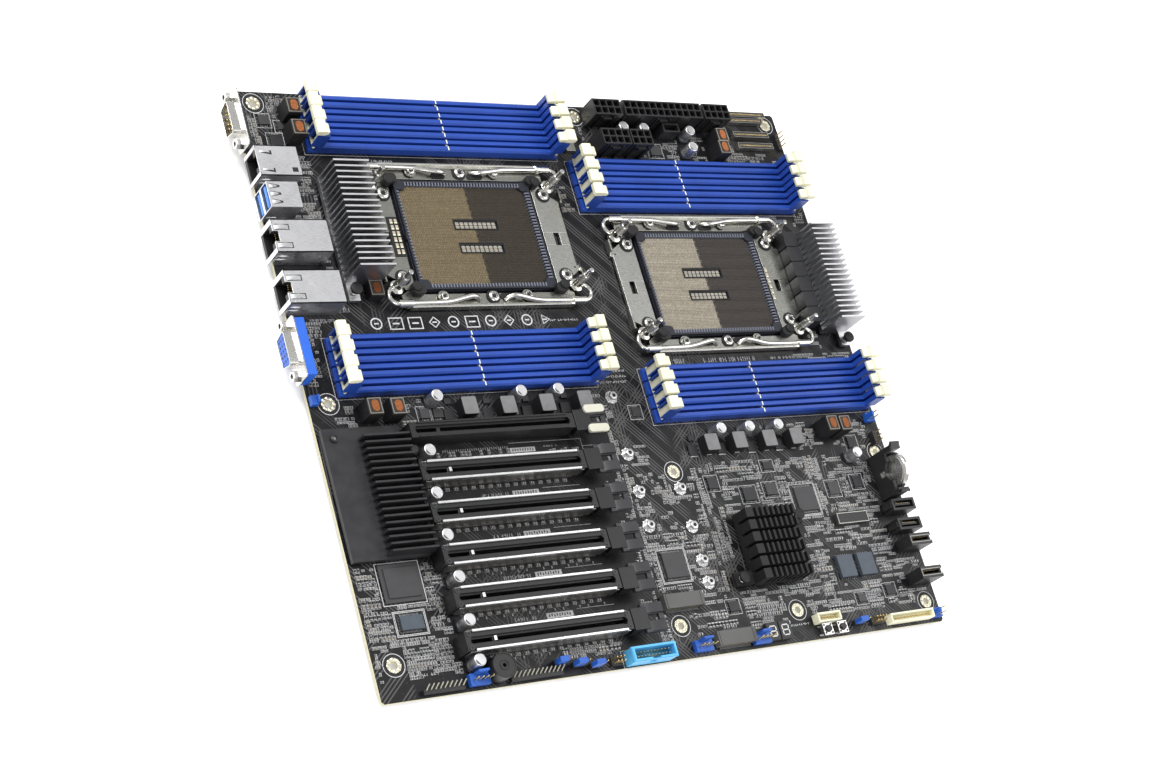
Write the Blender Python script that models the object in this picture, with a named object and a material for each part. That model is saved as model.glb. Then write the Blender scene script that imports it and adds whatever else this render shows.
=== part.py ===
"""A dual-socket EEB server board, as separate solids.

Sizes are in millimetres in the board's own layout and are placed in metres. In the layout, x runs from the
rear edge, where the ports are, to the front edge; y runs from the expansion-slot edge to the power-connector
edge; z = 0 is the board's upper face. The origin of the scene is the middle of the object's base.
"""

import math

import bpy

# The board
BOARD_X, BOARD_Y, BOARD_T = 330.2, 304.8, 2.0
PORT_OVERHANG = 9.0  # how far the video and serial shells stand out past the rear edge
UNDERSIDE = -4.5  # the lowest level, of the backplates and the solder tails
GAP = 0.3  # clearance under and around the pieces that sit on the board
SMOOTH_BELOW = math.radians(40)  # shallower edges than this are shaded round
HOLE_R, PAD_R, PAD_T = 1.98, 5.0, 0.25
HOLES = (
    (10.16, 298.45),
    (10.16, 140.97),
    (10.16, 16.51),
    (193.4, 298.45),
    (188.0, 95.0),
    (165.1, 16.51),
    (237.49, 16.51),
    (322.6, 298.0),
    (322.6, 96.8),
    (322.6, 11.8),
)

ORIGIN = ((BOARD_X - PORT_OVERHANG) / 2, BOARD_Y / 2, UNDERSIDE)

# Memory banks: (left end, lowest edge) of each bank of four sockets
BANKS = ((31.5, 271.8), (179.3, 240.9), (15.5, 143.6), (185.4, 121.2))
SOCKETS, SOCKET_L, SOCKET_W, SOCKET_PITCH = 4, 142.0, 6.5, 7.62
HOUSING_Z, TOWER_Z, TOWER_L = 6.2, 15.5, 6.3
MODULE_SLOT, SLOT_FLOOR, WEB_Z = 1.5, 2.2, 1.3
CHANNEL_W, CHANNEL_L, CHANNEL_FLOOR = 4.7, 3.4, 2.6  # the pocket in each tower that a latch swings in
LATCH_PIVOT = (1.9, 4.5)  # from the bank's end, and above the board
ROD_R = 0.75
# A latch seen from the side: an arm in the pocket, and a head that reaches over the module slot.
# Points are (distance in from the bank's end, height above the board).
LATCH = (
    (1.2, 3.9),
    (2.8, 3.9),
    (2.8, 15.9),
    (7.0, 15.9),
    (7.0, 18.2),
    (5.6, 20.5),
    (-2.2, 20.5),
    (-2.2, 17.4),
    (0.6, 16.0),
)
ARM_W, HEAD_W = 4.0, 6.4
HEAD_X, HEAD_Z = (-1.9, 5.4), (17.0, 20.2)

# Processor sockets: centres, and the sizes of what surrounds each
PROCESSORS = ((110.0, 225.8), (244.6, 197.6))
FRAME_X, FRAME_Y, FRAME_Z = 78.0, 60.0, 4.2
FIELD_X, FIELD_Y, FIELD_Z = 71.6, 54.6, 3.0
BOLSTER_X, BOLSTER_Y, BOLSTER_Z = 111.0, 79.0, 2.6
STUD_X, STUD_Y, STUD_R, STUD_Z = 51.0, 28.0, 2.2, 15.0
STUD_TIP_R, STUD_TIP_Z = 1.4, 19.5
SPRING_BAR_Y, SPRING_BAR_Z = 37.0, 5.4
SIDE_SLOT = (48.5, -1.5, 3.4, 7.0)  # its place from the middle of the plate, and its size
WINDOW, WINDOWS_AT, WINDOW_FLOOR = (25.0, 5.4), ((2.2, 6.0), (2.2, -7.0)), 1.2
BACKPLATE_X, BACKPLATE_Y = 108.0, 72.0

# Expansion slots: the centre line of the slot nearest the edge, and the pitch
SLOT_X, SLOT_L, SLOT_Z = 41.9, 89.0, 11.3
SLOT_Y, SLOT_PITCH, SLOT_COUNT = 20.0, 20.32, 6
SHIELDED_W, PLAIN_W, RAIL_T = 9.0, 7.5, 0.8
GROOVE_W, GROOVE_FLOOR, KEY = 1.9, 2.6, (14.2, 16.1)
# The card latch beyond each slot, seen from the side: (distance from its start, height above the board)
CARD_LATCH_GAP, CARD_LATCH_W, CARD_LATCH_Z = 0.4, 14.5, 12.2
CARD_LATCH = (
    (1.4, 2.4),
    (5.0, 2.4),
    (7.4, 7.6),
    (18.5, 8.6),
    (18.5, 11.0),
    (17.0, 12.2),
    (7.0, 12.2),
    (0.3, 10.8),
    (0.3, 8.6),
)
SLIT = (15.2, 2.6, 6.2)  # how far it runs, its width and its floor
CARD_PIVOT = (3.2, 4.0)  # from the latch's start, and above the board

# Heat sinks
FIN_COUNT, FIN_T = 19, 0.9
REGULATOR_SINK_Z = 22.0
# name, the finned block's x and y ranges, and the ranges of the tab that its pin goes through
REGULATOR_SINKS = (
    ("regulator_heatsink_rear", (32.0, 50.7, 200.2, 256.2), (32.3, 38.1, 191.0, 202.0)),
    ("regulator_heatsink_front", (310.6, 327.4, 166.8, 224.0), (321.6, 327.4, 158.5, 168.0)),
)
LOW_SINK, LOW_SINK_PLATE = (18.0, 41.3, 65.0, 121.2), (1.0, 40.0, 63.6, 127.2)
LOW_SINK_Z, LOW_SINK_FINS = 10.5, 18
CHIP_SINK = (213.0, 244.0, 31.0, 68.0)
CHIP_SINK_Z, CHIP_SINK_ROWS, CHIP_SINK_COLUMNS = 14.0, 6, 10
CHIP_EAR = (14.0, 7.0, 11.0)  # length, width and reach of the ears at two of its corners

# Rear ports: y centres
SERIAL_Y, MANAGEMENT_Y, USB_Y, LAN_YS, VIDEO_Y = 284.3, 259.5, 240.4, (220.0, 193.9), 165.0
JACK_Z, JACK_MOUTH_W, JACK_MOUTH = 13.5, 11.8, (2.4, 9.6)
USB_Z, USB_MOUTH_W, USB_MOUTHS = 15.6, 11.6, (1.6, 9.0)
D_FLANGE_W, D_SHELL_W, D_SHELL_Z, D_JACK_SPACING, D_JACK_Z = 30.8, 16.8, (2.2, 10.6), 12.5, 6.4

# Power connectors: (name, left end, contacts along x, lowest edge)
CELL, CELL_PITCH = 3.5, 4.2
POWER = (
    ("board_power_24pin", 217.2, 12, 292.5),
    ("cpu_power_8pin_1", 197.6, 4, 292.5),
    ("cpu_power_8pin_2", 270.0, 4, 292.5),
    ("aux_power_8pin", 197.6, 4, 274.7),
    ("aux_power_6pin", 216.0, 3, 274.7),
)
POWER_W, POWER_Z = 9.4, 13.5

# Coin cell and its upright holder
CELL_X, CELL_Y, CELL_R, CELL_T, CELL_FLOOR = 319.5, 80.7, 10.0, 3.2, 2.2

# Cable connectors at the front edge: x ends and y centres
SATA_X, SATA_YS, SATA_W, SATA_Z = (314.0, 329.8), (63.5, 52.6), 6.4, 8.6
SLIM_X, SLIM_YS, SLIM_W, SLIM_Z = (315.0, 329.6), (42.5, 24.0), 6.4, 12.0

BUTTONS = (("power_button", 250.0, 4.0), ("reset_button", 259.6, 4.0))
BUTTON_SIDE, BUTTON_Z, PLUNGER_R = 6.0, 3.5, 1.65

# Low parts along the slot edge
USB_HEADER = (127.8, 152.4, 0.5, 7.5)
CARD_SOCKETS, CARD_SOCKET_X, CARD_SOCKET_Y = ((157.0, 24.6), (181.4, 3.2)), 23.0, 7.2
BUZZER, BUZZER_R = (59.2, 7.7), 6.0


# Shapes: each returns (points, faces) of a closed prism in layout millimetres


def prism(outline, axis, low, high):
    """An outline pushed along an axis. Its points are the two other coordinates, in X, Y, Z order."""
    area = sum(a[0] * b[1] - b[0] * a[1] for a, b in zip(outline, outline[1:] + outline[:1]))
    if (area > 0) == (axis == "y"):
        outline = outline[::-1]
    put = {
        "x": lambda p, w: (w, p[0], p[1]),
        "y": lambda p, w: (p[0], w, p[1]),
        "z": lambda p, w: (p[0], p[1], w),
    }[axis]
    count = len(outline)
    points = [put(p, low) for p in outline] + [put(p, high) for p in outline]
    sides = [(i, (i + 1) % count, (i + 1) % count + count, i + count) for i in range(count)]
    return points, [tuple(range(count))[::-1], tuple(range(count, 2 * count)), *sides]


def block(x0, x1, y0, y1, z0, z1):
    return prism([(x0, y0), (x1, y0), (x1, y1), (x0, y1)], "z", z0, z1)


def centred(x, y, width, depth, z0, z1):
    return block(x - width / 2, x + width / 2, y - depth / 2, y + depth / 2, z0, z1)


def rod(centre, radius, axis, low, high, sides=20):
    turn = 2 * math.pi / sides
    ring = [
        (centre[0] + radius * math.cos(i * turn), centre[1] + radius * math.sin(i * turn))
        for i in range(sides)
    ]
    return prism(ring, axis, low, high)


def boxed(ranges, z0, z1):
    """A block over (x0, x1, y0, y1)."""
    return block(*ranges, z0, z1)


def chamfered(x, y, width, depth, corner):
    """The outline of a rectangle with its corners cut."""
    a, b = width / 2, depth / 2
    quarter = [(a, b - corner), (a - corner, b)]
    outline = quarter + [(-px, py) for px, py in quarter[::-1]]
    outline += [(-px, -py) for px, py in outline]
    return [(x + px, y + py) for px, py in outline]


def comb(low, high, base, root, top, fins, fin):
    """The outline of a base with fins on it, evenly spaced from low to high."""
    step = (high - low - fin) / (fins - 1)
    outline = [(low, base), (high, base)]
    for i in reversed(range(fins)):
        start = low + i * step
        outline += [(start + fin, top), (start, top)]
        if i:
            outline += [(start, root), (start - step + fin, root)]
    return outline


def joined(shapes):
    points, faces = [], []
    for shape_points, shape_faces in shapes:
        faces += [tuple(i + len(points) for i in face) for face in shape_faces]
        points += shape_points
    return points, faces


# Objects


def mesh_of(name, shape, origin=(0, 0, 0)):
    mesh = bpy.data.meshes.new(name)
    points = [[0.001 * (p - o) for p, o in zip(point, origin)] for point in shape[0]]
    mesh.from_pydata(points, [], shape[1])
    return mesh


def smooth(mesh):
    mesh.shade_smooth()
    mesh.set_sharp_from_angle(angle=SMOOTH_BELOW)


def material(name, colour, roughness, metallic):
    made = bpy.data.materials.new(name)
    made.use_nodes = True
    shader = made.node_tree.nodes["Principled BSDF"]
    shader.inputs["Base Color"].default_value = (*colour, 1)
    shader.inputs["Roughness"].default_value = roughness
    shader.inputs["Metallic"].default_value = metallic
    return made


FINISHES = {
    "laminate": ((0.012, 0.012, 0.014), 0.45, 0.0),
    "blue": ((0.02, 0.07, 0.42), 0.42, 0.0),
    "cream": ((0.80, 0.76, 0.58), 0.5, 0.0),
    "black": ((0.015, 0.015, 0.017), 0.5, 0.0),
    "grey": ((0.12, 0.12, 0.13), 0.5, 0.0),
    "light_blue": ((0.10, 0.38, 0.72), 0.42, 0.0),
    "steel": ((0.62, 0.62, 0.60), 0.32, 1.0),
    "nickel": ((0.74, 0.73, 0.70), 0.28, 1.0),
    "silver": ((0.70, 0.70, 0.71), 0.4, 1.0),
    "black_metal": ((0.02, 0.02, 0.022), 0.45, 0.6),
    "contacts": ((0.36, 0.28, 0.16), 0.45, 0.4),
}


def solid(name, finish, add, cut=(), pivot=None, rounded=False):
    """One object: the union of the shapes in add, less those in cut. A moving piece's origin is its pivot."""
    origin = pivot or ORIGIN
    mesh = mesh_of(name, add[0], origin)
    obj = bpy.data.objects.new(name, mesh)
    bpy.context.scene.collection.objects.link(obj)
    obj.location = [0.001 * (a - b) for a, b in zip(origin, ORIGIN)]
    for operation, shapes in (("UNION", add[1:]), ("DIFFERENCE", cut)):
        if not shapes:
            continue
        tool = bpy.data.objects.new(f"{name}_{operation}", mesh_of(name, joined(shapes), origin))
        bpy.context.scene.collection.objects.link(tool)
        tool.location = obj.location
        modifier = obj.modifiers.new(operation.title(), "BOOLEAN")
        modifier.operation = operation
        modifier.object = tool
        modifier.solver = "EXACT"
        modifier.use_self = len(shapes) > 1
        tool.hide_render = True
        tool.display_type = "WIRE"
        if rounded:
            smooth(tool.data)
    if rounded:
        smooth(mesh)
    colour, roughness, metallic = FINISHES[finish]
    obj.data.materials.append(material(name, colour, roughness, metallic))
    return obj


# The board and what is bolted to it


def tail_bars():
    """Short bars under the board, where rows of solder tails come through."""
    places = [(SLOT_X + SLOT_L / 2, SLOT_Y + i * SLOT_PITCH, 70, 3) for i in range(SLOT_COUNT)]
    places += [(5.5, y, 3, 11) for y in (SERIAL_Y, MANAGEMENT_Y, USB_Y, *LAN_YS, VIDEO_Y)]
    places += [(x + 2 * count, y + POWER_W / 2, 4 * count, 5) for _, x, count, y in POWER]
    places += [(322, y, 10, 3) for y in (*SATA_YS, *SLIM_YS)]
    places += [(x, 4.5, length, 3) for x, length in ((30, 20), (78, 24), (306, 26))]
    return [centred(x, y, width, depth, UNDERSIDE, -BOARD_T / 2) for x, y, width, depth in places]


def make_board():
    plate = prism(chamfered(BOARD_X / 2, BOARD_Y / 2, BOARD_X, BOARD_Y, 1.2), "z", -BOARD_T, 0)
    pads = [rod(hole, PAD_R, "z", -BOARD_T - PAD_T, -BOARD_T / 2, 16) for hole in HOLES]
    drills = [rod(hole, HOLE_R, "z", -BOARD_T - 2, 2, 16) for hole in HOLES]
    solid("board", "laminate", [plate, *pads, *tail_bars()], drills, rounded=True)


def make_processor(number, x, y):
    frame = prism(chamfered(x, y, FRAME_X, FRAME_Y, 3), "z", GAP, FRAME_Z)
    seat = centred(x, y, FIELD_X, FIELD_Y, FIELD_Z, FRAME_Z + 1)
    windows = [centred(x + dx, y + dy, *WINDOW, WINDOW_FLOOR, FIELD_Z + 1) for dx, dy in WINDOWS_AT]
    solid(f"cpu_socket_{number}", "contacts", [frame], [seat, *windows])

    plate = prism(chamfered(x, y, BOLSTER_X, BOLSTER_Y, 6), "z", 0.6, BOLSTER_Z)
    bars = [centred(x, y + side * SPRING_BAR_Y, 110, 4.0, 1.5, SPRING_BAR_Z) for side in (-1, 1)]
    studs = []
    for side_x in (-1, 1):
        for side_y in (-1, 1):
            centre = (x + side_x * STUD_X, y + side_y * STUD_Y)
            studs.append(rod(centre, STUD_R, "z", 1.2, STUD_Z, 16))
            studs.append(rod(centre, STUD_TIP_R, "z", STUD_Z - 1, STUD_TIP_Z, 12))
    window = centred(x, y, FRAME_X + 3, FRAME_Y + 3, -1, 20)
    slot_x, slot_y, slot_width, slot_length = SIDE_SLOT
    slots = [centred(x + side * slot_x, y + slot_y, slot_width, slot_length, -1, 20) for side in (-1, 1)]
    solid(f"bolster_plate_{number}", "steel", [plate, *bars, *studs], [window, *slots], rounded=True)

    back = prism(chamfered(x, y, BACKPLATE_X, BACKPLATE_Y, 8), "z", UNDERSIDE, -BOARD_T - GAP)
    solid(f"backplate_{number}", "steel", [back])


# Memory sockets


def housing_outline(y0):
    """A section through a bank: each socket's two walls and the slot between them, on a low web."""
    outline = [(y0, GAP), (y0 + (SOCKETS - 1) * SOCKET_PITCH + SOCKET_W, GAP)]
    bevel = 0.8
    for i in reversed(range(SOCKETS)):
        low, middle = y0 + i * SOCKET_PITCH, y0 + i * SOCKET_PITCH + SOCKET_W / 2
        outline += [
            (low + SOCKET_W, HOUSING_Z - bevel),
            (low + SOCKET_W - bevel, HOUSING_Z),
            (middle + MODULE_SLOT / 2, HOUSING_Z),
            (middle + MODULE_SLOT / 2, SLOT_FLOOR),
            (middle - MODULE_SLOT / 2, SLOT_FLOOR),
            (middle - MODULE_SLOT / 2, HOUSING_Z),
            (low + bevel, HOUSING_Z),
            (low, HOUSING_Z - bevel),
        ]
        if i:
            outline += [(low, WEB_Z), (low - SOCKET_PITCH + SOCKET_W, WEB_Z)]
    return outline


def from_end(end, side, near, far):
    """The x range of a stretch measured inwards from a bank's end. Side is 1 at the rear, -1 at the front."""
    return sorted((end + side * near, end + side * far))


def make_bank(number, x0, y0):
    ends = ((x0, 1), (x0 + SOCKET_L, -1))
    middles = [y0 + SOCKET_W / 2 + i * SOCKET_PITCH for i in range(SOCKETS)]
    housing = prism(housing_outline(y0), "x", x0 + TOWER_L - 1, x0 + SOCKET_L - TOWER_L + 1)
    shapes, cuts = [housing], []
    for end, side in ends:
        tower = from_end(end, side, 0, TOWER_L)
        groove = from_end(end, side, CHANNEL_L + 0.9, TOWER_L + 2)
        pocket = from_end(end, side, -1, CHANNEL_L)
        for middle in middles:
            shapes.append(centred(sum(tower) / 2, middle, TOWER_L, SOCKET_W, GAP, TOWER_Z))
            half = MODULE_SLOT / 2
            cuts.append(block(*groove, middle - half, middle + half, SLOT_FLOOR, TOWER_Z + 1))
            half = CHANNEL_W / 2
            cuts.append(block(*pocket, middle - half, middle + half, CHANNEL_FLOOR, TOWER_Z + 1))
        shapes.append(block(*from_end(end, side, 0.5, TOWER_L), y0 + 1, middles[-1] + 1, GAP, WEB_Z))
        # the row's rod runs across the towers, so they are notched for it
        cuts.append(block(*pocket, y0 - 1, middles[-1] + SOCKET_W, CHANNEL_FLOOR, LATCH_PIVOT[1] + 1.5))
    solid(f"dimm_bank_{number}", "blue", shapes, cuts)
    for (end, side), place in zip(ends, ("rear", "front")):
        make_latch_row(f"dimm_latches_{number}_{place}", end, side, middles)


def make_latch_row(name, end, side, middles):
    """Four module latches on one pivot rod, which is what makes them one piece here."""
    across, up = LATCH_PIVOT
    outline = [(end + side * x, z) for x, z in LATCH]
    shapes = [rod((end + side * across, up), ROD_R, "y", middles[0] - 3, middles[-1] + 3, 8)]
    for middle in middles:
        shapes.append(prism(outline, "y", middle - ARM_W / 2, middle + ARM_W / 2))
        head = from_end(end, side, *HEAD_X)
        shapes.append(block(*head, middle - HEAD_W / 2, middle + HEAD_W / 2, *HEAD_Z))
    centre = (end + side * across, (middles[0] + middles[-1]) / 2, up)
    solid(name, "cream", shapes, pivot=centre)


# Expansion slots


def make_slot(number, y):
    width = SHIELDED_W if number > 1 else PLAIN_W
    end = SLOT_X + SLOT_L
    shapes = [centred(SLOT_X + SLOT_L / 2, y, SLOT_L, width, GAP, SLOT_Z - 0.6)]
    for side in (-1, 1):
        edge = y + side * (width / 2 - RAIL_T / 2)
        shapes.append(centred(SLOT_X + SLOT_L / 2, edge, SLOT_L - 7.6, RAIL_T, SLOT_Z - 6.3, SLOT_Z))
    trench = block(SLOT_X + 3.0, end - 3.0, y - 1.8, y + 1.8, SLOT_Z - 2.2, SLOT_Z + 1)
    half = GROOVE_W / 2
    rear_groove = block(SLOT_X + 2.5, SLOT_X + KEY[0], y - half, y + half, GROOVE_FLOOR, SLOT_Z + 1)
    front_groove = block(SLOT_X + KEY[1], end - 2.4, y - half, y + half, GROOVE_FLOOR, SLOT_Z + 1)
    solid(f"pcie_slot_{number}", "black", shapes, [trench, rear_groove, front_groove])

    start = end + CARD_LATCH_GAP
    lever = prism([(start + x, z) for x, z in CARD_LATCH], "y", y - CARD_LATCH_W / 2, y + CARD_LATCH_W / 2)
    slit = block(start - 1, start + SLIT[0], y - SLIT[1] / 2, y + SLIT[1] / 2, SLIT[2], CARD_LATCH_Z + 1)
    pivot = (start + CARD_PIVOT[0], y, CARD_PIVOT[1])
    solid(f"pcie_latch_{number}", "grey", [lever], [slit], pivot=pivot)


# Heat sinks


def make_heat_sinks():
    for name, (x0, x1, y0, y1), tab in REGULATOR_SINKS:
        fins = prism(comb(y0, y1, 1.5, 4.0, REGULATOR_SINK_Z, FIN_COUNT, FIN_T), "x", x0, x1)
        solid(name, "silver", [fins, boxed(tab, 1.5, 3.6)])

    x0, x1, y0, y1 = LOW_SINK
    fins = prism(comb(y0, y1, 1.5, 3.4, LOW_SINK_Z, LOW_SINK_FINS, FIN_T), "x", x0, x1)
    solid("low_heatsink", "black_metal", [fins, boxed(LOW_SINK_PLATE, 1.4, 3.9)])

    x0, x1, y0, y1 = CHIP_SINK
    rows = prism(comb(y0, y1, 2.0, 5.0, CHIP_SINK_Z, CHIP_SINK_ROWS, 4.9), "x", x0, x1)
    length, width, reach = CHIP_EAR
    ears = [
        block(x0 - reach, x0 - reach + length, y0 + 0.5, y0 + 0.5 + width, 2.2, 4.2),
        block(x1 + reach - length, x1 + reach, y1 - 0.5 - width, y1 - 0.5, 2.2, 4.2),
    ]
    pin = 1.3
    pitch = (x1 - x0 - pin) / (CHIP_SINK_COLUMNS - 1)
    gaps = []
    for i in range(1, CHIP_SINK_COLUMNS - 1):
        gaps.append(block(x0 + pin + i * pitch, x0 + (i + 1) * pitch, y0 - 1, y1 + 1, 5.2, CHIP_SINK_Z + 1))
    solid("chipset_heatsink", "black_metal", [rows, *ears], gaps)


# Rear ports


def d_outline(y, half, low, high):
    """The section of a D-shaped shell, wider at the top."""
    right = [(half - 1.6, low), (half - 0.4, low + 1.2), (half, high - 1.4), (half - 1.4, high)]
    return [(y + dy, z) for dy, z in right] + [(y - dy, z) for dy, z in right[::-1]]


def make_d_port(name, finish, y, body_z, hollow):
    low, high = D_SHELL_Z
    half = D_SHELL_W / 2
    flange = centred(-3.2, y, 0.8, D_FLANGE_W, GAP, 12.8)
    body = block(-3.2, 2.2, y - 14.2, y + 14.2, GAP, body_z)
    shell = prism(d_outline(y, half, low, high), "x", -PORT_OVERHANG, -3.0)
    jacks = [rod((y + side * D_JACK_SPACING, D_JACK_Z), 2.4, "x", -8.2, -3.0, 6) for side in (-1, 1)]
    inside = prism(d_outline(y, half - 0.5, low + 0.5, high - 0.5), "x", -PORT_OVERHANG - 1, -3.9)
    solid(name, finish, [flange, body, shell, *jacks], [inside] if hollow else [])


def make_jack(name, x0, x1, y, width, tab_up):
    """A network jack: a shell with a mouth, and a channel for the plug's tab over or inside it."""
    shell = block(x0, x1, y - width / 2, y + width / 2, GAP, JACK_Z)
    low, high = JACK_MOUTH
    mouth = block(x0 - 1, x0 + 12.5, y - JACK_MOUTH_W / 2, y + JACK_MOUTH_W / 2, low, high)
    channel = block(x0 - 1, x0 + 5.8, y - 3, y + 3, high - 1, JACK_Z + (1 if tab_up else -1.5))
    solid(name, "nickel", [shell], [mouth, channel])


def make_ports():
    make_d_port("serial_port", "nickel", SERIAL_Y, 5.0, hollow=True)
    make_jack("management_lan_port", -2.0, 19.0, MANAGEMENT_Y, 16.0, tab_up=False)
    stack = block(-1.8, 14.0, USB_Y - 6.6, USB_Y + 6.6, GAP, USB_Z)
    mouths = [block(-3, 12, USB_Y - USB_MOUTH_W / 2, USB_Y + USB_MOUTH_W / 2, z, z + 5.2) for z in USB_MOUTHS]
    solid("usb_port_stack", "nickel", [stack], mouths)
    for number, y in enumerate(LAN_YS, 1):
        make_jack(f"lan_port_{number}", -3.2, 25.0, y, 17.0, tab_up=True)
    make_d_port("video_port", "blue", VIDEO_Y, 12.0, hollow=False)


# Connectors on the board


def make_power():
    wall = 0.7
    for name, x0, count, y0 in POWER:
        length = (count - 1) * CELL_PITCH + CELL + 2 * wall
        shroud = block(x0, x0 + length, y0, y0 + POWER_W, GAP, POWER_Z)
        cells = []
        for i in range(count):
            x = x0 + wall + CELL / 2 + i * CELL_PITCH
            for side in (-1, 1):
                y = y0 + POWER_W / 2 + side * CELL_PITCH / 2
                cells.append(centred(x, y, CELL, CELL, 4, POWER_Z + 1))
        solid(name, "black", [shroud], cells)


def make_battery():
    x0, x1 = CELL_X - 4.0, CELL_X + 3.2
    low, high = CELL_Y - CELL_R - 2.4, CELL_Y + CELL_R + 2.4
    post = 2.1
    base = block(x0, x1, low, high, GAP, 8.0)
    wall = block(x0, x0 + 2.2, low, high, 2, 13.0)
    posts = [block(x0, x1, low, low + post, 2, 15.5), block(x0, x1, high - post, high, 2, 19.0)]
    half = CELL_T / 2 + 0.2
    pocket = block(CELL_X - half, CELL_X + half, low + post, high - post, CELL_FLOOR - GAP, 30)
    view = rod((CELL_Y, 15.5), 6.0, "x", x0 - 1, CELL_X, 20)
    solid("battery_holder", "black", [base, wall, *posts], [pocket, view], rounded=True)
    middle = (CELL_X, CELL_Y, CELL_FLOOR + CELL_R)
    cell = rod(middle[1:], CELL_R, "x", CELL_X - CELL_T / 2, CELL_X + CELL_T / 2, 40)
    solid("coin_cell", "nickel", [cell], pivot=middle, rounded=True)


def around(opening, tongue):
    """Cutting shapes for an opening with a tongue left standing in it. Both are (x0, x1, y0, y1, z0, z1)."""
    x0, x1, y0, y1, z0, z1 = opening
    tx0, tx1, ty0, ty1, _, top = tongue
    lap = 0.1
    return [
        block(x0, x1, y0, ty0, z0, z1),
        block(x0, x1, ty1, y1, z0, z1),
        block(x0, tx0, ty0 - lap, ty1 + lap, z0, z1),
        block(tx1, x1, ty0 - lap, ty1 + lap, z0, z1),
        block(x0, x1, y0, y1, top, z1),
    ]


def make_cable_connectors():
    x0, x1 = SATA_X
    for number, y in enumerate(SATA_YS, 1):
        shell = block(x0, x1, y - SATA_W / 2, y + SATA_W / 2, GAP, SATA_Z)
        opening = (x0 + 1.4, x1 - 1.4, y - 1.9, y + 1.9, 2.0, SATA_Z + 1)
        tongue = (x0 + 2.6, x1 - 2.6, y - 0.5, y + 0.7, 1.5, SATA_Z - 0.9)
        solid(f"sata_port_{number}", "black", [shell], around(opening, tongue))
    x0, x1 = SLIM_X
    for number, y in enumerate(SLIM_YS, 1):
        shell = block(x0, x1, y - SLIM_W / 2, y + SLIM_W / 2, GAP, SLIM_Z)
        slot = block(x0 + 1.2, x1 - 2.2, y - 1.0, y + 1.0, 4.0, SLIM_Z + 1)
        notch = block(x1 - 1.6, x1 + 1, y - 1.3, y + 1.3, 8.4, SLIM_Z + 1)
        solid(f"slim_port_{number}", "black", [shell], [slot, notch])


def make_low_parts():
    x0, x1, y0, y1 = USB_HEADER
    inside = block(x0 + 1.1, x1 - 1.1, y0 + 1, y1 - 1, 1.8, 10)
    key = centred((x0 + x1) / 2, y0, 4.4, 3, 3, 10)
    solid("usb_header", "light_blue", [block(x0, x1, y0, y1, GAP, 9.0)], [inside, key])
    for number, (x, y) in enumerate(CARD_SOCKETS, 1):
        body = block(x, x + CARD_SOCKET_X, y, y + CARD_SOCKET_Y, GAP, 4.4)
        mouth = block(x + 1.5, x + CARD_SOCKET_X - 1.5, y - 1, y + 4.2, 1.9, 3.2)
        solid(f"card_socket_{number}", "grey", [body], [mouth])
    can = rod(BUZZER, BUZZER_R, "z", GAP, 8.6, 32)
    solid("buzzer", "black", [can], [rod(BUZZER, 1.0, "z", 6, 10, 12)], rounded=True)
    for name, x, y in BUTTONS:
        case = centred(x, y, BUTTON_SIDE, BUTTON_SIDE, GAP, BUTTON_Z)
        bore = rod((x, y), PLUNGER_R + GAP, "z", 1.4, BUTTON_Z + 1, 20)
        solid(f"{name}_base", "steel", [case], [bore], rounded=True)
        plunger = rod((x, y), PLUNGER_R, "z", 1.8, 4.7, 20)
        solid(name, "black", [plunger], pivot=(x, y, 1.8), rounded=True)


def main():
    for obj in list(bpy.data.objects):
        bpy.data.objects.remove(obj)
    make_board()
    for number, (x, y) in enumerate(PROCESSORS, 1):
        make_processor(number, x, y)
    for number, (x0, y0) in enumerate(BANKS, 1):
        make_bank(number, x0, y0)
    for number in range(1, SLOT_COUNT + 1):
        make_slot(number, SLOT_Y + (SLOT_COUNT - number) * SLOT_PITCH)
    make_heat_sinks()
    make_ports()
    make_power()
    make_battery()
    make_cable_connectors()
    make_low_parts()


main()
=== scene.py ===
"""The looks of a dual-socket EEB server board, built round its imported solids.

Lengths are millimetres in the board's own layout: x runs from the rear (port) edge to the front edge, y from the
expansion-slot edge to the power-connector edge, and z = 0 is the board's upper face. world() turns a layout
point into the frame's metres.
"""

import math
import random

import bpy
from mathutils import Euler, Matrix, Vector

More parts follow.
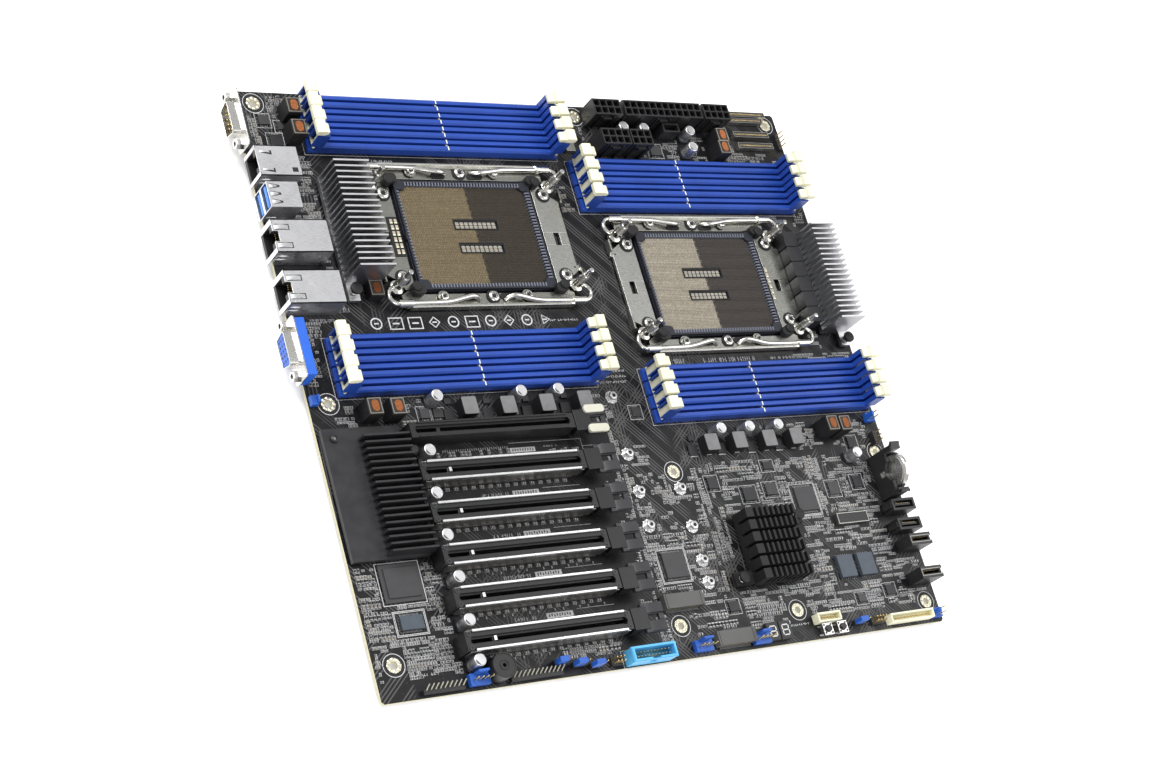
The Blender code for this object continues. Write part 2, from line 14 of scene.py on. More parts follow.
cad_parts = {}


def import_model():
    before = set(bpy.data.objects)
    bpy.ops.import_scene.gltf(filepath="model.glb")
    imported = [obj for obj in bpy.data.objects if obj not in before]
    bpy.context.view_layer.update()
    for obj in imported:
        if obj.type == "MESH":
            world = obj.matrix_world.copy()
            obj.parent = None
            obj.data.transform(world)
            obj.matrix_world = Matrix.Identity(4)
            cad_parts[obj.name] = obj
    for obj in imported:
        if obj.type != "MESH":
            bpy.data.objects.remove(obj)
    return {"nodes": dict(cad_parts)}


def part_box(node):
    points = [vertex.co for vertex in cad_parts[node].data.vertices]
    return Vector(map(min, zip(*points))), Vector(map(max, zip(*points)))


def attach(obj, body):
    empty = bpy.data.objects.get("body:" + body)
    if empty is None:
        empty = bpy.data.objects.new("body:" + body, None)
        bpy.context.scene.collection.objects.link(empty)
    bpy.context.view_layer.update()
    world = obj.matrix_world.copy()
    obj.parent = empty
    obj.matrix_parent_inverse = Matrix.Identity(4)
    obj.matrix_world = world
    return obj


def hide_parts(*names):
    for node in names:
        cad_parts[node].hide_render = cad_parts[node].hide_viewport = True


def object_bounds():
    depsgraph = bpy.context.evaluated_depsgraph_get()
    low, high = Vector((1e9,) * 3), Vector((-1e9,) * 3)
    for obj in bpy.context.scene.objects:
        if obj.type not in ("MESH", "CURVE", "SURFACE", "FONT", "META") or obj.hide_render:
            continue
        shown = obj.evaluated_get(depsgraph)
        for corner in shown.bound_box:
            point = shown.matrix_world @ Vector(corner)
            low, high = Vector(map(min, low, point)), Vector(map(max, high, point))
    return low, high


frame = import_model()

CAD_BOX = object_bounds()
MM = 0.001
BOARD_LOW, BOARD_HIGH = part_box("board")
BOARD_T = 2.0
UNDERSIDE = -BOARD_T - 0.25

HOLES = (
    (10.16, 298.45), (10.16, 140.97), (10.16, 16.51), (193.4, 298.45), (188.0, 95.0),
    (165.1, 16.51), (237.49, 16.51), (322.6, 298.0), (322.6, 96.8), (322.6, 11.8),
)
HOLE_R = 1.98
SOCKETS, SOCKET_PITCH, SOCKET_W = 4, 7.62, 6.5
HOUSING_Z = 6.2
LATCH_PIVOT_IN = 1.9
SLOT_ENDS_IN = 3.8
SIDES = (-1, 1)
CORNERS = ((-1, -1), (-1, 1), (1, -1), (1, 1))
RING = ((-1, -1), (1, -1), (1, 1), (-1, 1))  # the corners, going round
INK_Z = 0.03  # thickness of a printed mark

# Camera
CAMERA_AT = (-394.8, -179.0, 748.0)
CAMERA_TURN = (27.83, -30.36, -18.42)
LENS, SHIFT = 61.16, (-0.0333, 0.0377)


# Places


def world(point):
    return (BOARD_LOW.x + MM * point[0], BOARD_LOW.y + MM * point[1], BOARD_HIGH.z + MM * point[2])


def extent(node):
    """A node's (x0, x1, y0, y1, z0, z1) in the layout."""
    low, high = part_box(node)
    corner = Vector((BOARD_LOW.x, BOARD_LOW.y, BOARD_HIGH.z))
    low, high = (low - corner) / MM, (high - corner) / MM
    return low.x, high.x, low.y, high.y, low.z, high.z


# Shapes: each is (points, faces) of a closed body in layout millimetres


def prism(outline, axis, low, high):
    """An outline pushed along an axis. Its points are the two other coordinates, in X, Y, Z order."""
    outline = list(outline)
    low, high = sorted((low, high))
    area = sum(a[0] * b[1] - b[0] * a[1] for a, b in zip(outline, outline[1:] + outline[:1]))
    if (area > 0) == (axis == "y"):
        outline = outline[::-1]
    put = {
        "x": lambda p, w: (w, p[0], p[1]),
        "y": lambda p, w: (p[0], w, p[1]),
        "z": lambda p, w: (p[0], p[1], w),
    }[axis]
    count = len(outline)
    points = [put(p, low) for p in outline] + [put(p, high) for p in outline]
    sides = [(i, (i + 1) % count, (i + 1) % count + count, i + count) for i in range(count)]
    return points, [tuple(range(count))[::-1], tuple(range(count, 2 * count)), *sides]


def block(x0, x1, y0, y1, z0, z1):
    """A box, whichever way round each pair of its ends is given."""
    (x0, x1), (y0, y1) = sorted((x0, x1)), sorted((y0, y1))
    return prism([(x0, y0), (x1, y0), (x1, y1), (x0, y1)], "z", z0, z1)


def centred(x, y, width, depth, z0, z1):
    return block(x - width / 2, x + width / 2, y - depth / 2, y + depth / 2, z0, z1)


def rounded(x, y, width, depth, radius, steps=4):
    """The outline of a rectangle with round corners."""
    points = []
    for quarter, (sx, sy) in enumerate(((1, 1), (-1, 1), (-1, -1), (1, -1))):
        cx, cy = x + sx * (width / 2 - radius), y + sy * (depth / 2 - radius)
        for i in range(steps + 1):
            turn = math.pi / 2 * (quarter + i / steps)
            points.append((cx + radius * math.cos(turn), cy + radius * math.sin(turn)))
    return points


def frame_ring(x, y, width, depth, wall, z0, z1):
    """A rectangular ring."""
    outer = [(sx * width / 2, sy * depth / 2) for sx, sy in RING]
    inner = [(px - math.copysign(wall, px), py - math.copysign(wall, py)) for px, py in outer]
    points = [(x + px, y + py, z) for z in (z0, z1) for px, py in outer + inner]
    faces = []
    for i in range(4):
        j = (i + 1) % 4
        faces += [(i, j, j + 8, i + 8), (j + 4, i + 4, i + 12, j + 12)]
        faces += [(j, i, i + 4, j + 4), (i + 8, j + 8, j + 12, i + 12)]
    return points, faces


def turned(profile, centre, axis="z", sides=20, loop=False):
    """A profile of (radius, height) turned round an axis, its outer side running upwards."""
    points, rings, faces = [], [], []
    for radius, height in profile:
        rings.append(range(len(points), len(points) + (sides if radius > 0 else 1)))
        for i in range(len(rings[-1])):
            turn = 2 * math.pi * i / sides
            points.append((radius * math.cos(turn), radius * math.sin(turn), height))
    for low, high in zip(rings, rings[1:] + (rings[:1] if loop else [])):
        for i in range(sides):
            j = i + 1
            corners = (low[i % len(low)], low[j % len(low)], high[j % len(high)], high[i % len(high)])
            faces.append(tuple(dict.fromkeys(corners)))
    if not loop:
        faces += [tuple(reversed(rings[0]))] * (len(rings[0]) > 1)
        faces += [tuple(rings[-1])] * (len(rings[-1]) > 1)
    order = {"z": (0, 1, 2), "x": (2, 0, 1), "y": (1, 2, 0)}[axis]
    return [tuple(p[k] + c for k, c in zip(order, centre)) for p in points], faces


def disc(x, y, profile, sides=20):
    """A profile turned round an upright axis."""
    return turned(profile, (x, y, 0), sides=sides)


def washer(x, y, inner, outer, z0, z1, sides=24):
    """A flat ring."""
    section = [(inner, z0), (outer, z0), (outer, z1), (inner, z1)]
    return turned(section, (x, y, 0), sides=sides, loop=True)


def rod(centre, radius, axis, low, high):
    """A round bar. Its centre is the two coordinates across the axis, in X, Y, Z order."""
    u, v = centre
    middle = {"x": (0, u, v), "y": (u, 0, v)}[axis]
    return turned([(radius, end) for end in sorted((low, high))], middle, axis, 16)


def tube(path, radius, sides):
    """A round wire along a path of points."""
    path = [Vector(p) for p in path]
    points, across = [], None
    for i, point in enumerate(path):
        along = (path[min(i + 1, len(path) - 1)] - path[max(i - 1, 0)]).normalized()
        if across is None:
            across = along.orthogonal()
        across = (across - across.project(along)).normalized()
        other = along.cross(across)
        for k in range(sides):
            turn = 2 * math.pi * k / sides
            points.append(tuple(point + radius * (math.cos(turn) * across + math.sin(turn) * other)))
    faces = [tuple(range(sides))[::-1], tuple(range(len(points) - sides, len(points)))]
    for i in range(len(path) - 1):
        for k in range(sides):
            a, b = i * sides + k, i * sides + (k + 1) % sides
            faces.append((a, b, b + sides, a + sides))
    return points, faces


def arc(x, y, radius, start, end, steps=8):
    """Points on an arc, with angles in degrees."""
    turns = [math.radians(start + (end - start) * i / steps) for i in range(steps + 1)]
    return [(x + radius * math.cos(t), y + radius * math.sin(t)) for t in turns]


def around(x, y, radius, count):
    """Points spread evenly round a centre."""
    turns = [2 * math.pi * k / count for k in range(count)]
    return [(x + radius * math.cos(t), y + radius * math.sin(t)) for t in turns]


def smooth_path(points):
    """Points on a smooth curve through the given ones, four to each stretch."""
    path = [Vector(p) for p in points]
    made = []
    for i in range(len(path) - 1):
        a, b, c, d = path[max(i - 1, 0)], path[i], path[i + 1], path[min(i + 2, len(path) - 1)]
        for t in (0, 0.25, 0.5, 0.75):
            cubic = (2 * a - 5 * b + 4 * c - d) * t**2 + (3 * b - a - 3 * c + d) * t**3
            made.append(0.5 * (2 * b + (c - a) * t + cubic))
    return [*made, path[-1]]


def moved(shape, matrix):
    return [tuple(matrix @ Vector(p)) for p in shape[0]], shape[1]


# Materials


class Nodes:
    """A short way to build a node material."""

    def __init__(self, name):
        self.material = bpy.data.materials.new(name)
        self.material.use_nodes = True
        self.tree = self.material.node_tree
        self.shader = self.tree.nodes["Principled BSDF"]
        self.coordinates = self.tree.nodes.new("ShaderNodeTexCoord").outputs["Object"]

    def node(self, kind, inputs=(), **settings):
        made = self.tree.nodes.new(kind)
        for key, value in settings.items():
            setattr(made, key, value)
        for key, value in dict(inputs).items():
            self.put(made.inputs[key], value)
        return made

    def put(self, socket, value):
        if isinstance(value, bpy.types.NodeSocket):
            self.tree.links.new(value, socket)
        else:
            socket.default_value = value

    def scaled(self, x, y, z):
        """Object coordinates in cycles per millimetre along each axis."""
        mapping = self.node("ShaderNodeMapping", {"Vector": self.coordinates, "Scale": (x / MM, y / MM, z / MM)})
        return mapping.outputs["Vector"]

    def noise(self, vector, detail=3.0, roughness=0.5):
        inputs = {"Vector": vector, "Scale": 1.0, "Detail": detail, "Roughness": roughness}
        return self.node("ShaderNodeTexNoise", inputs).outputs["Fac"]

    def ramp(self, value, low, high, to_low=0.0, to_high=1.0):
        inputs = {0: value, 1: low, 2: high, 3: to_low, 4: to_high}
        return self.node("ShaderNodeMapRange", inputs).outputs[0]

    def math(self, operation, a, b=0.0):
        return self.node("ShaderNodeMath", {0: a, 1: b}, operation=operation).outputs[0]

    def mix(self, factor, a, b):
        made = self.node("ShaderNodeMix", {"Factor": factor}, data_type="RGBA")
        self.put(made.inputs[6], (*a, 1) if isinstance(a, tuple) else a)
        self.put(made.inputs[7], (*b, 1) if isinstance(b, tuple) else b)
        return made.outputs[2]

    def bump(self, height, distance, strength=1.0):
        inputs = {"Height": height, "Distance": distance * MM, "Strength": strength}
        self.put(self.shader.inputs["Normal"], self.node("ShaderNodeBump", inputs).outputs["Normal"])

    def finish(self, colour, roughness, metallic=0.0, **more):
        settings = {"Base Color": colour, "Roughness": roughness, "Metallic": metallic, **more}
        for key, value in settings.items():
            colour_like = isinstance(value, tuple) and len(value) == 3
            self.put(self.shader.inputs[key], (*value, 1) if colour_like else value)
        return self.material


def shade(colour, factor):
    return tuple(min(1.0, c * factor) for c in colour)


def plastic(name, colour, roughness, worn=1.25, texture=0.02):
    """A moulding: slight mottling, a fine moulded texture, and paler scuffs in places."""
    n = Nodes(name)
    cloud = n.noise(n.scaled(0.05, 0.05, 0.05), 4.0)
    fine = n.noise(n.scaled(2.5, 2.5, 2.5), 2.0)
    scuffs = n.ramp(n.noise(n.scaled(0.35, 0.35, 0.35), 6.0, 0.7), 0.56, 0.75)
    base = n.mix(n.ramp(cloud, 0.3, 0.7), shade(colour, 0.88), shade(colour, 1.08))
    n.bump(fine, texture)
    worn_base = n.mix(n.math("MULTIPLY", scuffs, 0.4), base, shade(colour, worn))
    return n.finish(worn_base, n.ramp(fine, 0.3, 0.7, roughness - 0.06, roughness + 0.08))


def metal(name, colour, roughness, along, across, tarnish, depth=0.01, metallic=1.0):
    """Plated or brushed metal: streaks, in cycles per millimetre along and across x, and faint tarnish."""
    n = Nodes(name)
    lines = n.noise(n.scaled(along, across, across), 3.0)
    cloud = n.noise(n.scaled(0.12, 0.12, 0.12), 5.0, 0.6)
    n.bump(lines, depth)
    polish = n.ramp(n.math("ADD", lines, cloud), 0.7, 1.3, roughness - 0.07, roughness + 0.12)
    return n.finish(n.mix(n.ramp(cloud, 0.35, 0.75), colour, shade(colour, tarnish)), polish, metallic)


def laminate_material():
    """Black solder mask over traces, cream glass laminate at the cut edges, and tinned tails underneath."""
    n = Nodes("laminate")
    place = n.node("ShaderNodeSeparateXYZ", {"Vector": n.scaled(1, 1, 1)}).outputs
    facing = n.node("ShaderNodeSeparateXYZ", {"Vector": n.node("ShaderNodeNewGeometry").outputs["Normal"]}).outputs
    across = n.math("ABSOLUTE", n.math("SUBTRACT", place["X"], BOARD_LOW.x / MM + 175.0))
    lane = n.ramp(across, 12.0, 17.0, 1.0, 0.0)
    traces = 0.0
    for degrees, scale, low, high in ((-42, 0.20, 0.46, 0.54), (48, 0.19, 0.54, 0.60), (2, 0.17, 0.56, 0.62)):
        turn = (0, 0, math.radians(degrees))
        along = n.node("ShaderNodeMapping", {"Vector": n.scaled(1, 1, 1), "Rotation": turn}).outputs[0]
        settings = {"Vector": along, "Scale": scale, "Distortion": 0.35, "Detail": 1.0, "Detail Scale": 0.15}
        wave = n.node("ShaderNodeTexWave", settings)
        lines = n.ramp(wave.outputs["Fac"], 0.66, 0.80)
        bundles = n.node("ShaderNodeTexWave", settings | {"Scale": 0.17 * scale, "Distortion": 1.5})
        lines = n.math("MULTIPLY", lines, n.ramp(bundles.outputs["Fac"], 0.30, 0.36))
        spread = n.noise(n.scaled(0.030 + 0.003 * degrees / 42, 0.024, 0.02), 2.0)
        zone = n.ramp(spread, low, high)
        zone = n.math("MAXIMUM", zone, lane) if degrees < 0 else zone
        traces = n.math("MAXIMUM", traces, n.math("MULTIPLY", lines, zone))
    vias = n.node("ShaderNodeTexVoronoi", {"Vector": n.scaled(0.42, 0.42, 0.0), "Scale": 1.0, "Randomness": 0.75})
    dots = n.math("LESS_THAN", vias.outputs["Distance"], 0.12)
    mask = n.mix(n.math("MULTIPLY", traces, 0.9), (0.0050, 0.0050, 0.0062), (0.088, 0.086, 0.086))
    mask = n.mix(n.math("MULTIPLY", dots, 0.6), mask, (0.075, 0.070, 0.064))
    weave = n.noise(n.scaled(3.0, 3.0, 12.0), 2.0)
    edge = n.mix(weave, (0.52, 0.47, 0.28), (0.70, 0.66, 0.46))
    is_edge = n.math("LESS_THAN", n.math("ABSOLUTE", facing["Z"]), 0.5)
    colour = n.mix(is_edge, mask, edge)
    is_tail = n.math("LESS_THAN", place["Z"], BOARD_HIGH.z / MM - BOARD_T - 0.6)
    tails = n.node("ShaderNodeTexVoronoi", {"Vector": n.scaled(0.5, 0.5, 0.0), "Scale": 1.0, "Randomness": 0.1})
    solder = n.math("LESS_THAN", tails.outputs["Distance"], 0.42)
    colour = n.mix(is_tail, colour, n.mix(solder, (0.05, 0.05, 0.05), (0.62, 0.62, 0.60)))
    n.bump(n.math("ADD", traces, n.math("MULTIPLY", dots, 0.6)), 0.05)
    roughness = n.ramp(n.noise(n.scaled(0.3, 0.3, 0.3), 4.0), 0.3, 0.7, 0.30, 0.46)
    metallic = n.math("MULTIPLY", n.math("MULTIPLY", is_tail, solder), 0.9)
    return n.finish(colour, roughness, metallic, **{"Specular IOR Level": 0.32})


def contact_material(name, colour, glint):
    """A field of tiny sprung contacts, each with a painted glint towards its middle."""
    n = Nodes(name)
    cells = n.node("ShaderNodeTexVoronoi", {"Vector": n.scaled(1.06, 1.2, 0.0), "Scale": 1.0, "Randomness": 0.25})
    near = n.ramp(cells.outputs["Distance"], 0.15, 0.5, 1.0, 0.0)
    cloud = n.noise(n.scaled(0.5, 0.5, 0.5), 5.0, 0.7)
    # Painted glint: near each contact's middle the colour is mixed towards the pale glint colour.
    painted_glint = n.math("MULTIPLY", near, n.ramp(cloud, 0.35, 0.65, 0.35, 1.0))
    n.bump(near, 0.25, 0.8)
    return n.finish(n.mix(painted_glint, colour, glint), 0.5, 0.25)


def windings_material():
    """Turns of copper wire, seen on top of an inductor."""
    n = Nodes("copper_windings")
    wave = n.node("ShaderNodeTexWave", {"Vector": n.scaled(1.0, 1.0, 1.0), "Scale": 0.55, "Distortion": 0.3})
    n.bump(wave.outputs["Fac"], 0.15)
    return n.finish(n.mix(wave.outputs["Fac"], (0.10, 0.030, 0.010), (0.42, 0.15, 0.05)), 0.38, 0.8)


def fin_material():
    """Extruded fins with fine streaks along them; every face pointing upwards is given a much paler colour than
    the sides, a painted highlight.
    """
    n = Nodes("fin_aluminium")
    facing = n.node("ShaderNodeSeparateXYZ", {"Vector": n.node("ShaderNodeNewGeometry").outputs["Normal"]}).outputs
    lines = n.noise(n.scaled(0.25, 5.0, 5.0), 3.0)
    side = n.mix(n.ramp(lines, 0.3, 0.7), (0.30, 0.30, 0.315), (0.42, 0.42, 0.44))
    n.bump(lines, 0.012)
    # Painted highlight: faces turned upwards get a bright colour, so the sides read as painted shade beside them.
    top = n.math("GREATER_THAN", facing["Z"], 0.7)
    return n.finish(n.mix(top, side, (0.84, 0.84, 0.86)), n.ramp(lines, 0.3, 0.7, 0.3, 0.44), 1.0)


def ink_material():
    """Printed marks, slightly broken up as ink is on a solder mask."""
    n = Nodes("white_ink")
    patches = n.ramp(n.noise(n.scaled(2.5, 2.5, 0.5), 3.0), 0.36, 0.46)
    return n.finish(n.mix(patches, (0.24, 0.24, 0.25), (0.64, 0.64, 0.65)), 0.6)


def chip_material(name, colour):
    """Moulded epoxy: a fine grain, and soft patches of lighter and darker tone which stand for its faint marking.
    """
    n = Nodes(name)
    grain = n.noise(n.scaled(4.0, 4.0, 4.0), 3.0)
    cloud = n.noise(n.scaled(0.25, 0.25, 0.25), 3.0)
    n.bump(grain, 0.03)
    return n.finish(n.mix(cloud, shade(colour, 0.8), shade(colour, 1.3)), n.ramp(grain, 0.3, 0.7, 0.38, 0.55))


# Each finish by its maker: colour, roughness and the maker's other numbers, in its own order
FINISHES = {
    plastic: {
        "memory_blue": ((0.014, 0.058, 0.33), 0.36, 1.5, 0.012),
        "cream": ((0.84, 0.82, 0.62), 0.42, 1.1),
        "latch_pad": ((0.56, 0.55, 0.46), 0.45, 1.1),
        "header_blue": ((0.017, 0.095, 0.44), 0.38),
        "usb_blue": ((0.10, 0.44, 0.78), 0.4),
        "video_blue": ((0.02, 0.12, 0.60), 0.38),
        "tongue_blue": ((0.04, 0.22, 0.66), 0.35),
        "black": ((0.014, 0.014, 0.015), 0.40, 2.2),
        "slot_black": ((0.012, 0.012, 0.013), 0.34, 2.0),
        "frame_black": ((0.018, 0.019, 0.025), 0.42, 2.0),
        "matte_black": ((0.006, 0.006, 0.007), 0.62, 3.0),
        "comb": ((0.012, 0.014, 0.022), 0.40, 2.0),
        "tooth": ((0.15, 0.16, 0.20), 0.4, 1.4),
        "grey": ((0.030, 0.030, 0.033), 0.42, 1.8),
        "pale_grey": ((0.085, 0.085, 0.082), 0.45, 1.5),
        "cap_pale": ((0.42, 0.38, 0.30), 0.4),
        "cap_tan": ((0.20, 0.175, 0.14), 0.4),
        "cap_grey": ((0.16, 0.15, 0.14), 0.4),
    },
    metal: {
        "steel": ((0.42, 0.42, 0.385), 0.27, 0.5, 2.5, 0.72),
        "pale_steel": ((0.56, 0.56, 0.53), 0.28, 0.5, 2.5, 0.75),
        "spring_steel": ((0.80, 0.79, 0.74), 0.17, 0.3, 2.0, 0.8),
        "screw": ((0.80, 0.79, 0.76), 0.2, 2.0, 2.0, 0.7),
        "thread": ((0.52, 0.51, 0.48), 0.3, 2.0, 2.0, 0.6),
        "shell": ((0.86, 0.86, 0.88), 0.30, 0.4, 4.0, 0.86, 0.006),
        "rail": ((0.90, 0.90, 0.90), 0.26, 0.2, 5.0, 0.9, 0.006),
        "pin_silver": ((0.70, 0.69, 0.58), 0.32, 2.0, 2.0, 0.75),
        "nickel": ((0.78, 0.77, 0.74), 0.22, 2.0, 2.0, 0.75),
        "gold": ((0.80, 0.62, 0.28), 0.28, 1.5, 1.5, 0.8),
        "tin": ((0.47, 0.47, 0.47), 0.38, 1.2, 1.2, 0.7, 0.04),
        "ring_tin": ((0.80, 0.76, 0.60), 0.34, 1.5, 1.5, 0.8, 0.05),
        "can_top": ((0.72, 0.72, 0.73), 0.42, 1.0, 1.0, 0.85, 0.004),
        "dark_aluminium": ((0.026, 0.026, 0.028), 0.40, 0.3, 4.0, 1.5, 0.01, 0.4),
    },
    chip_material: {
        "choke_grey": ((0.155, 0.155, 0.158),),
        "chip_black": ((0.016, 0.016, 0.018),),
        "chip_grey": ((0.036, 0.036, 0.038),),
        "chip_slate": ((0.052, 0.066, 0.085),),
    },
    contact_material: {
        "field_tan": ((0.116, 0.087, 0.046), (0.36, 0.29, 0.174)),
        "field_brown": ((0.030, 0.023, 0.016), (0.078, 0.060, 0.042)),
        "field_pale": ((0.22, 0.192, 0.147), (0.61, 0.56, 0.46)),
        "field_dark": ((0.038, 0.032, 0.028), (0.084, 0.07, 0.063)),
    },
}
OTHER_FINISHES = {
    "copper": windings_material,
    "fin_aluminium": fin_material,
    "ink": ink_material,
    "laminate": laminate_material,
}
MADE = {}


def material(finish):
    if finish not in MADE:
        if finish in OTHER_FINISHES:
            MADE[finish] = OTHER_FINISHES[finish]()
        else:
            maker, table = next((maker, table) for maker, table in FINISHES.items() if finish in table)
            MADE[finish] = maker(finish, *table[finish])
    return MADE[finish]


# Pieces


class Piece:
    """Closed shapes gathered into one mesh, each with its own finish."""

    def __init__(self, name):
        self.name, self.points, self.faces, self.finishes = name, [], [], []

    def add(self, finish, *shapes):
        for points, faces in shapes:
            start = len(self.points)
            self.points += points
            self.faces += [tuple(start + i for i in face) for face in faces]
            self.finishes += [finish] * len(faces)
        return self

    def build(self, body="root", replaces=(), *, slot, bevel=0.0, segments=2):
        """Makes the mesh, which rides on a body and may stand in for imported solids."""
        mesh = bpy.data.meshes.new(self.name)
        mesh.from_pydata([world(p) for p in self.points], [], self.faces)
        used = list(dict.fromkeys(self.finishes))
        for finish in used:
            mesh.materials.append(material(finish))
        mesh.polygons.foreach_set("material_index", [used.index(f) for f in self.finishes])
        mesh.shade_smooth()
        mesh.set_sharp_from_angle(angle=math.radians(38))
        obj = bpy.data.objects.new(self.name, mesh)
        bpy.context.scene.collection.objects.link(obj)
        if bevel:
            edge = obj.modifiers.new("Bevel", "BEVEL")
            edge.width = bevel * MM
            edge.segments = segments
            edge.limit_method = "ANGLE"
            edge.angle_limit = math.radians(40)
            edge.harden_normals = True
        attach(obj, body)
        if replaces:
            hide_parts(*replaces)


def dress(node, finish):
    """Gives a carried-over solid its finish."""
    mesh = frame["nodes"][node].data
    mesh.materials.clear()
    mesh.materials.append(material(finish))


# Stage, light and camera


def make_stage():
    """A pale paper floor, a white world, three lamps and the camera."""
    scene = bpy.context.scene
    scene.view_settings.view_transform = "Standard"
    ground = bpy.data.meshes.new("floor")
    low, middle = CAD_BOX[0], (CAD_BOX[0] + CAD_BOX[1]) / 2
    reach = 6.0
    corners = [(middle.x + sx * reach, middle.y + sy * reach, low.z - 0.0002) for sx, sy in RING]
    ground.from_pydata(corners, [], [(0, 1, 2, 3)])
    n = Nodes("floor_paper")
    paper = n.mix(n.noise(n.scaled(0.01, 0.01, 0.01)), (0.90, 0.90, 0.90), (0.93, 0.93, 0.93))
    n.finish(paper, 0.9, **{"Emission Color": (1.0, 1.0, 1.0), "Emission Strength": 0.35})
    ground.materials.append(n.material)
    floor = bpy.data.objects.new("floor", ground)
    scene.collection.objects.link(floor)

    world_shader = bpy.data.worlds.new("studio")
    world_shader.use_nodes = True
    background = world_shader.node_tree.nodes["Background"]
    background.inputs["Color"].default_value = (1.0, 1.0, 1.0, 1)
    background.inputs["Strength"].default_value = 0.55
    scene.world = world_shader
    for name, place, size, power in (
        ("key", (-0.55, 0.75, 1.1), 0.9, 19),
        ("fill", (0.9, -0.2, 1.0), 1.2, 7),
        ("low", (-0.3, -1.0, 0.7), 0.8, 5),
    ):
        lamp = bpy.data.lights.new(name, "AREA")
        lamp.shape = "DISK"
        lamp.size = size
        lamp.energy = power
        obj = bpy.data.objects.new(name, lamp)
        scene.collection.objects.link(obj)
        obj.location = place
        obj.rotation_euler = (-Vector(place)).to_track_quat("-Z", "Y").to_euler()

    camera = bpy.data.cameras.new("camera")
    camera.sensor_width = 36
    camera.lens = LENS
    camera.shift_x, camera.shift_y = SHIFT
    camera.clip_start = 0.05
    obj = bpy.data.objects.new("camera", camera)
    scene.collection.objects.link(obj)
    obj.location = world(CAMERA_AT)
    obj.rotation_euler = Euler([math.radians(a) for a in CAMERA_TURN])
    scene.camera = obj


# The bare board


def make_board():
    """The laminate, with a plated ring, solder dots and printed circles at each mounting hole."""
    dress("board", "laminate")
    rings = Piece("hole_rings")
    circles = Piece("hole_circles")
    bore = HOLE_R - 0.12
    for x, y in HOLES:
        rings.add("ring_tin", washer(x, y, bore, 3.5, 0, 0.06, 32))
        for centre in around(x, y, 2.85, 8):
            rings.add("ring_tin", disc(*centre, [(0.85, 0), (0.85, 0.16), (0.5, 0.36), (0, 0.42)], 10))
        rings.add("ring_tin", washer(x, y, bore, 3.5, UNDERSIDE - 0.06, UNDERSIDE, 32))
        rings.add("ring_tin", washer(x, y, bore, HOLE_R - 0.02, UNDERSIDE, 0.05, 32))
        circles.add("matte_black", washer(x, y, 3.6, 5.0, 0.0, 0.02, 40))
        circles.add("ink", washer(x, y, 5.15, 5.45, 0.0, INK_Z, 40))
    rings.build(slot="board_laminate")
    circles.build(slot="board_laminate")


# Memory banks and latches


def make_banks():
    """The cream keys and the contacts in each memory socket, and the latches at both of its ends."""
    for number in range(1, 5):
        node = f"dimm_bank_{number}"
        dress(node, "memory_blue")
        x0, x1, y0, _, _, _ = extent(node)
        rear_row = number in (1, 3)
        key = x0 + (75.4 if rear_row else 66.6)
        keys = Piece(f"slot_keys_{number}")
        contacts = Piece(f"slot_contacts_{number}")
        for i in range(SOCKETS):
            y = y0 + SOCKET_W / 2 + i * SOCKET_PITCH
            keys.add("cream", centred(key, y, 0.7, 1.5, 2.4, HOUSING_Z - 1.0))
            for side in SIDES:
                keys.add("cream", block(key - 0.3, key + 0.3, y + side * 0.8, y + side * 2.9, 6.1, 6.24))
                for k in range(144):
                    x = x0 + 9.5 + k * 0.85
                    if abs(x - key) > 1.6:
                        # The contacts take the dark brown contact finish: painted shade deep in the slot, in place
                        # of their gold.
                        contacts.add("field_brown", centred(x, y + side * 0.62, 0.3, 0.16, 2.3, 3.5))
        keys.build(slot="latch_cream")
        contacts.build(slot="memory_blue")
        for place, end, side in (("rear", x0, 1), ("front", x1, -1)):
            wide = place == "rear" and rear_row
            make_latches(number, place, end, side, y0, wide)


def make_latches(number, place, end, side, y0, wide):
    """A row of module latches: an arm in each tower's pocket, a finger over the slot, and a grip on top.
    The wide grips of a row meet, and their arms are thinner."""
    node = f"dimm_latches_{number}_{place}"
    piece = Piece(f"module_latches_{number}_{place}")
    middles = [y0 + SOCKET_W / 2 + i * SOCKET_PITCH for i in range(SOCKETS)]
    head, arm, face = (3.7, 0.8, 1.9) if wide else (3.1, 2.0, 1.2)
    back, reach = (2.8, 5.2) if wide else (3.4, 6.9)
    stem = ((face, 4.1), (2.8, 4.1), (2.8, 17.2), (0.6, 17.2), (0.6, 15.9), (face, 15.2))
    grip = (
        (-2.2, 17.5), (-1.4, 16.9), (back, 16.9), (back, 20.1), (back - 0.4, 20.45), (-1.5, 20.45),
        (-2.2, 19.8),
    )
    finger = (
        (2.0, 15.95), (reach - 0.4, 15.95), (reach, 16.5), (reach, 18.0), (reach - 0.7, 18.6),
        (2.6, 18.9), (2.0, 18.9),
    )
    for y in middles:
        for half, outline in ((arm, stem), (head, grip), (2.4, finger)):
            piece.add("cream", prism([(end + side * x, z) for x, z in outline], "y", y - half, y + half))
        if wide:
            nub = block(end + side * 2.6, end + side * 3.9, y - head, y - head + 1.8, 17.4, 20.2)
            piece.add("cream", nub)
    piece.add("cream", rod((end + side * LATCH_PIVOT_IN, 4.5), 0.75, "y", middles[0] - 3, middles[-1] + 3))
    piece.build(node, (node,), slot="latch_cream", bevel=0.3)


# Processor sockets and their bolster plates

SCREWS = (
    (-45.0, 23.0, 3.2), (-27.0, 35.4, 2.3), (1.0, 35.2, 2.9), (20.5, 35.3, 2.3),
    (47.0, 23.4, 3.2), (47.2, -22.2, 3.2), (-27.0, -33.4, 2.3), (1.0, -33.5, 2.9),
    (20.5, -33.4, 2.3), (-46.0, -22.5, 3.2),
)


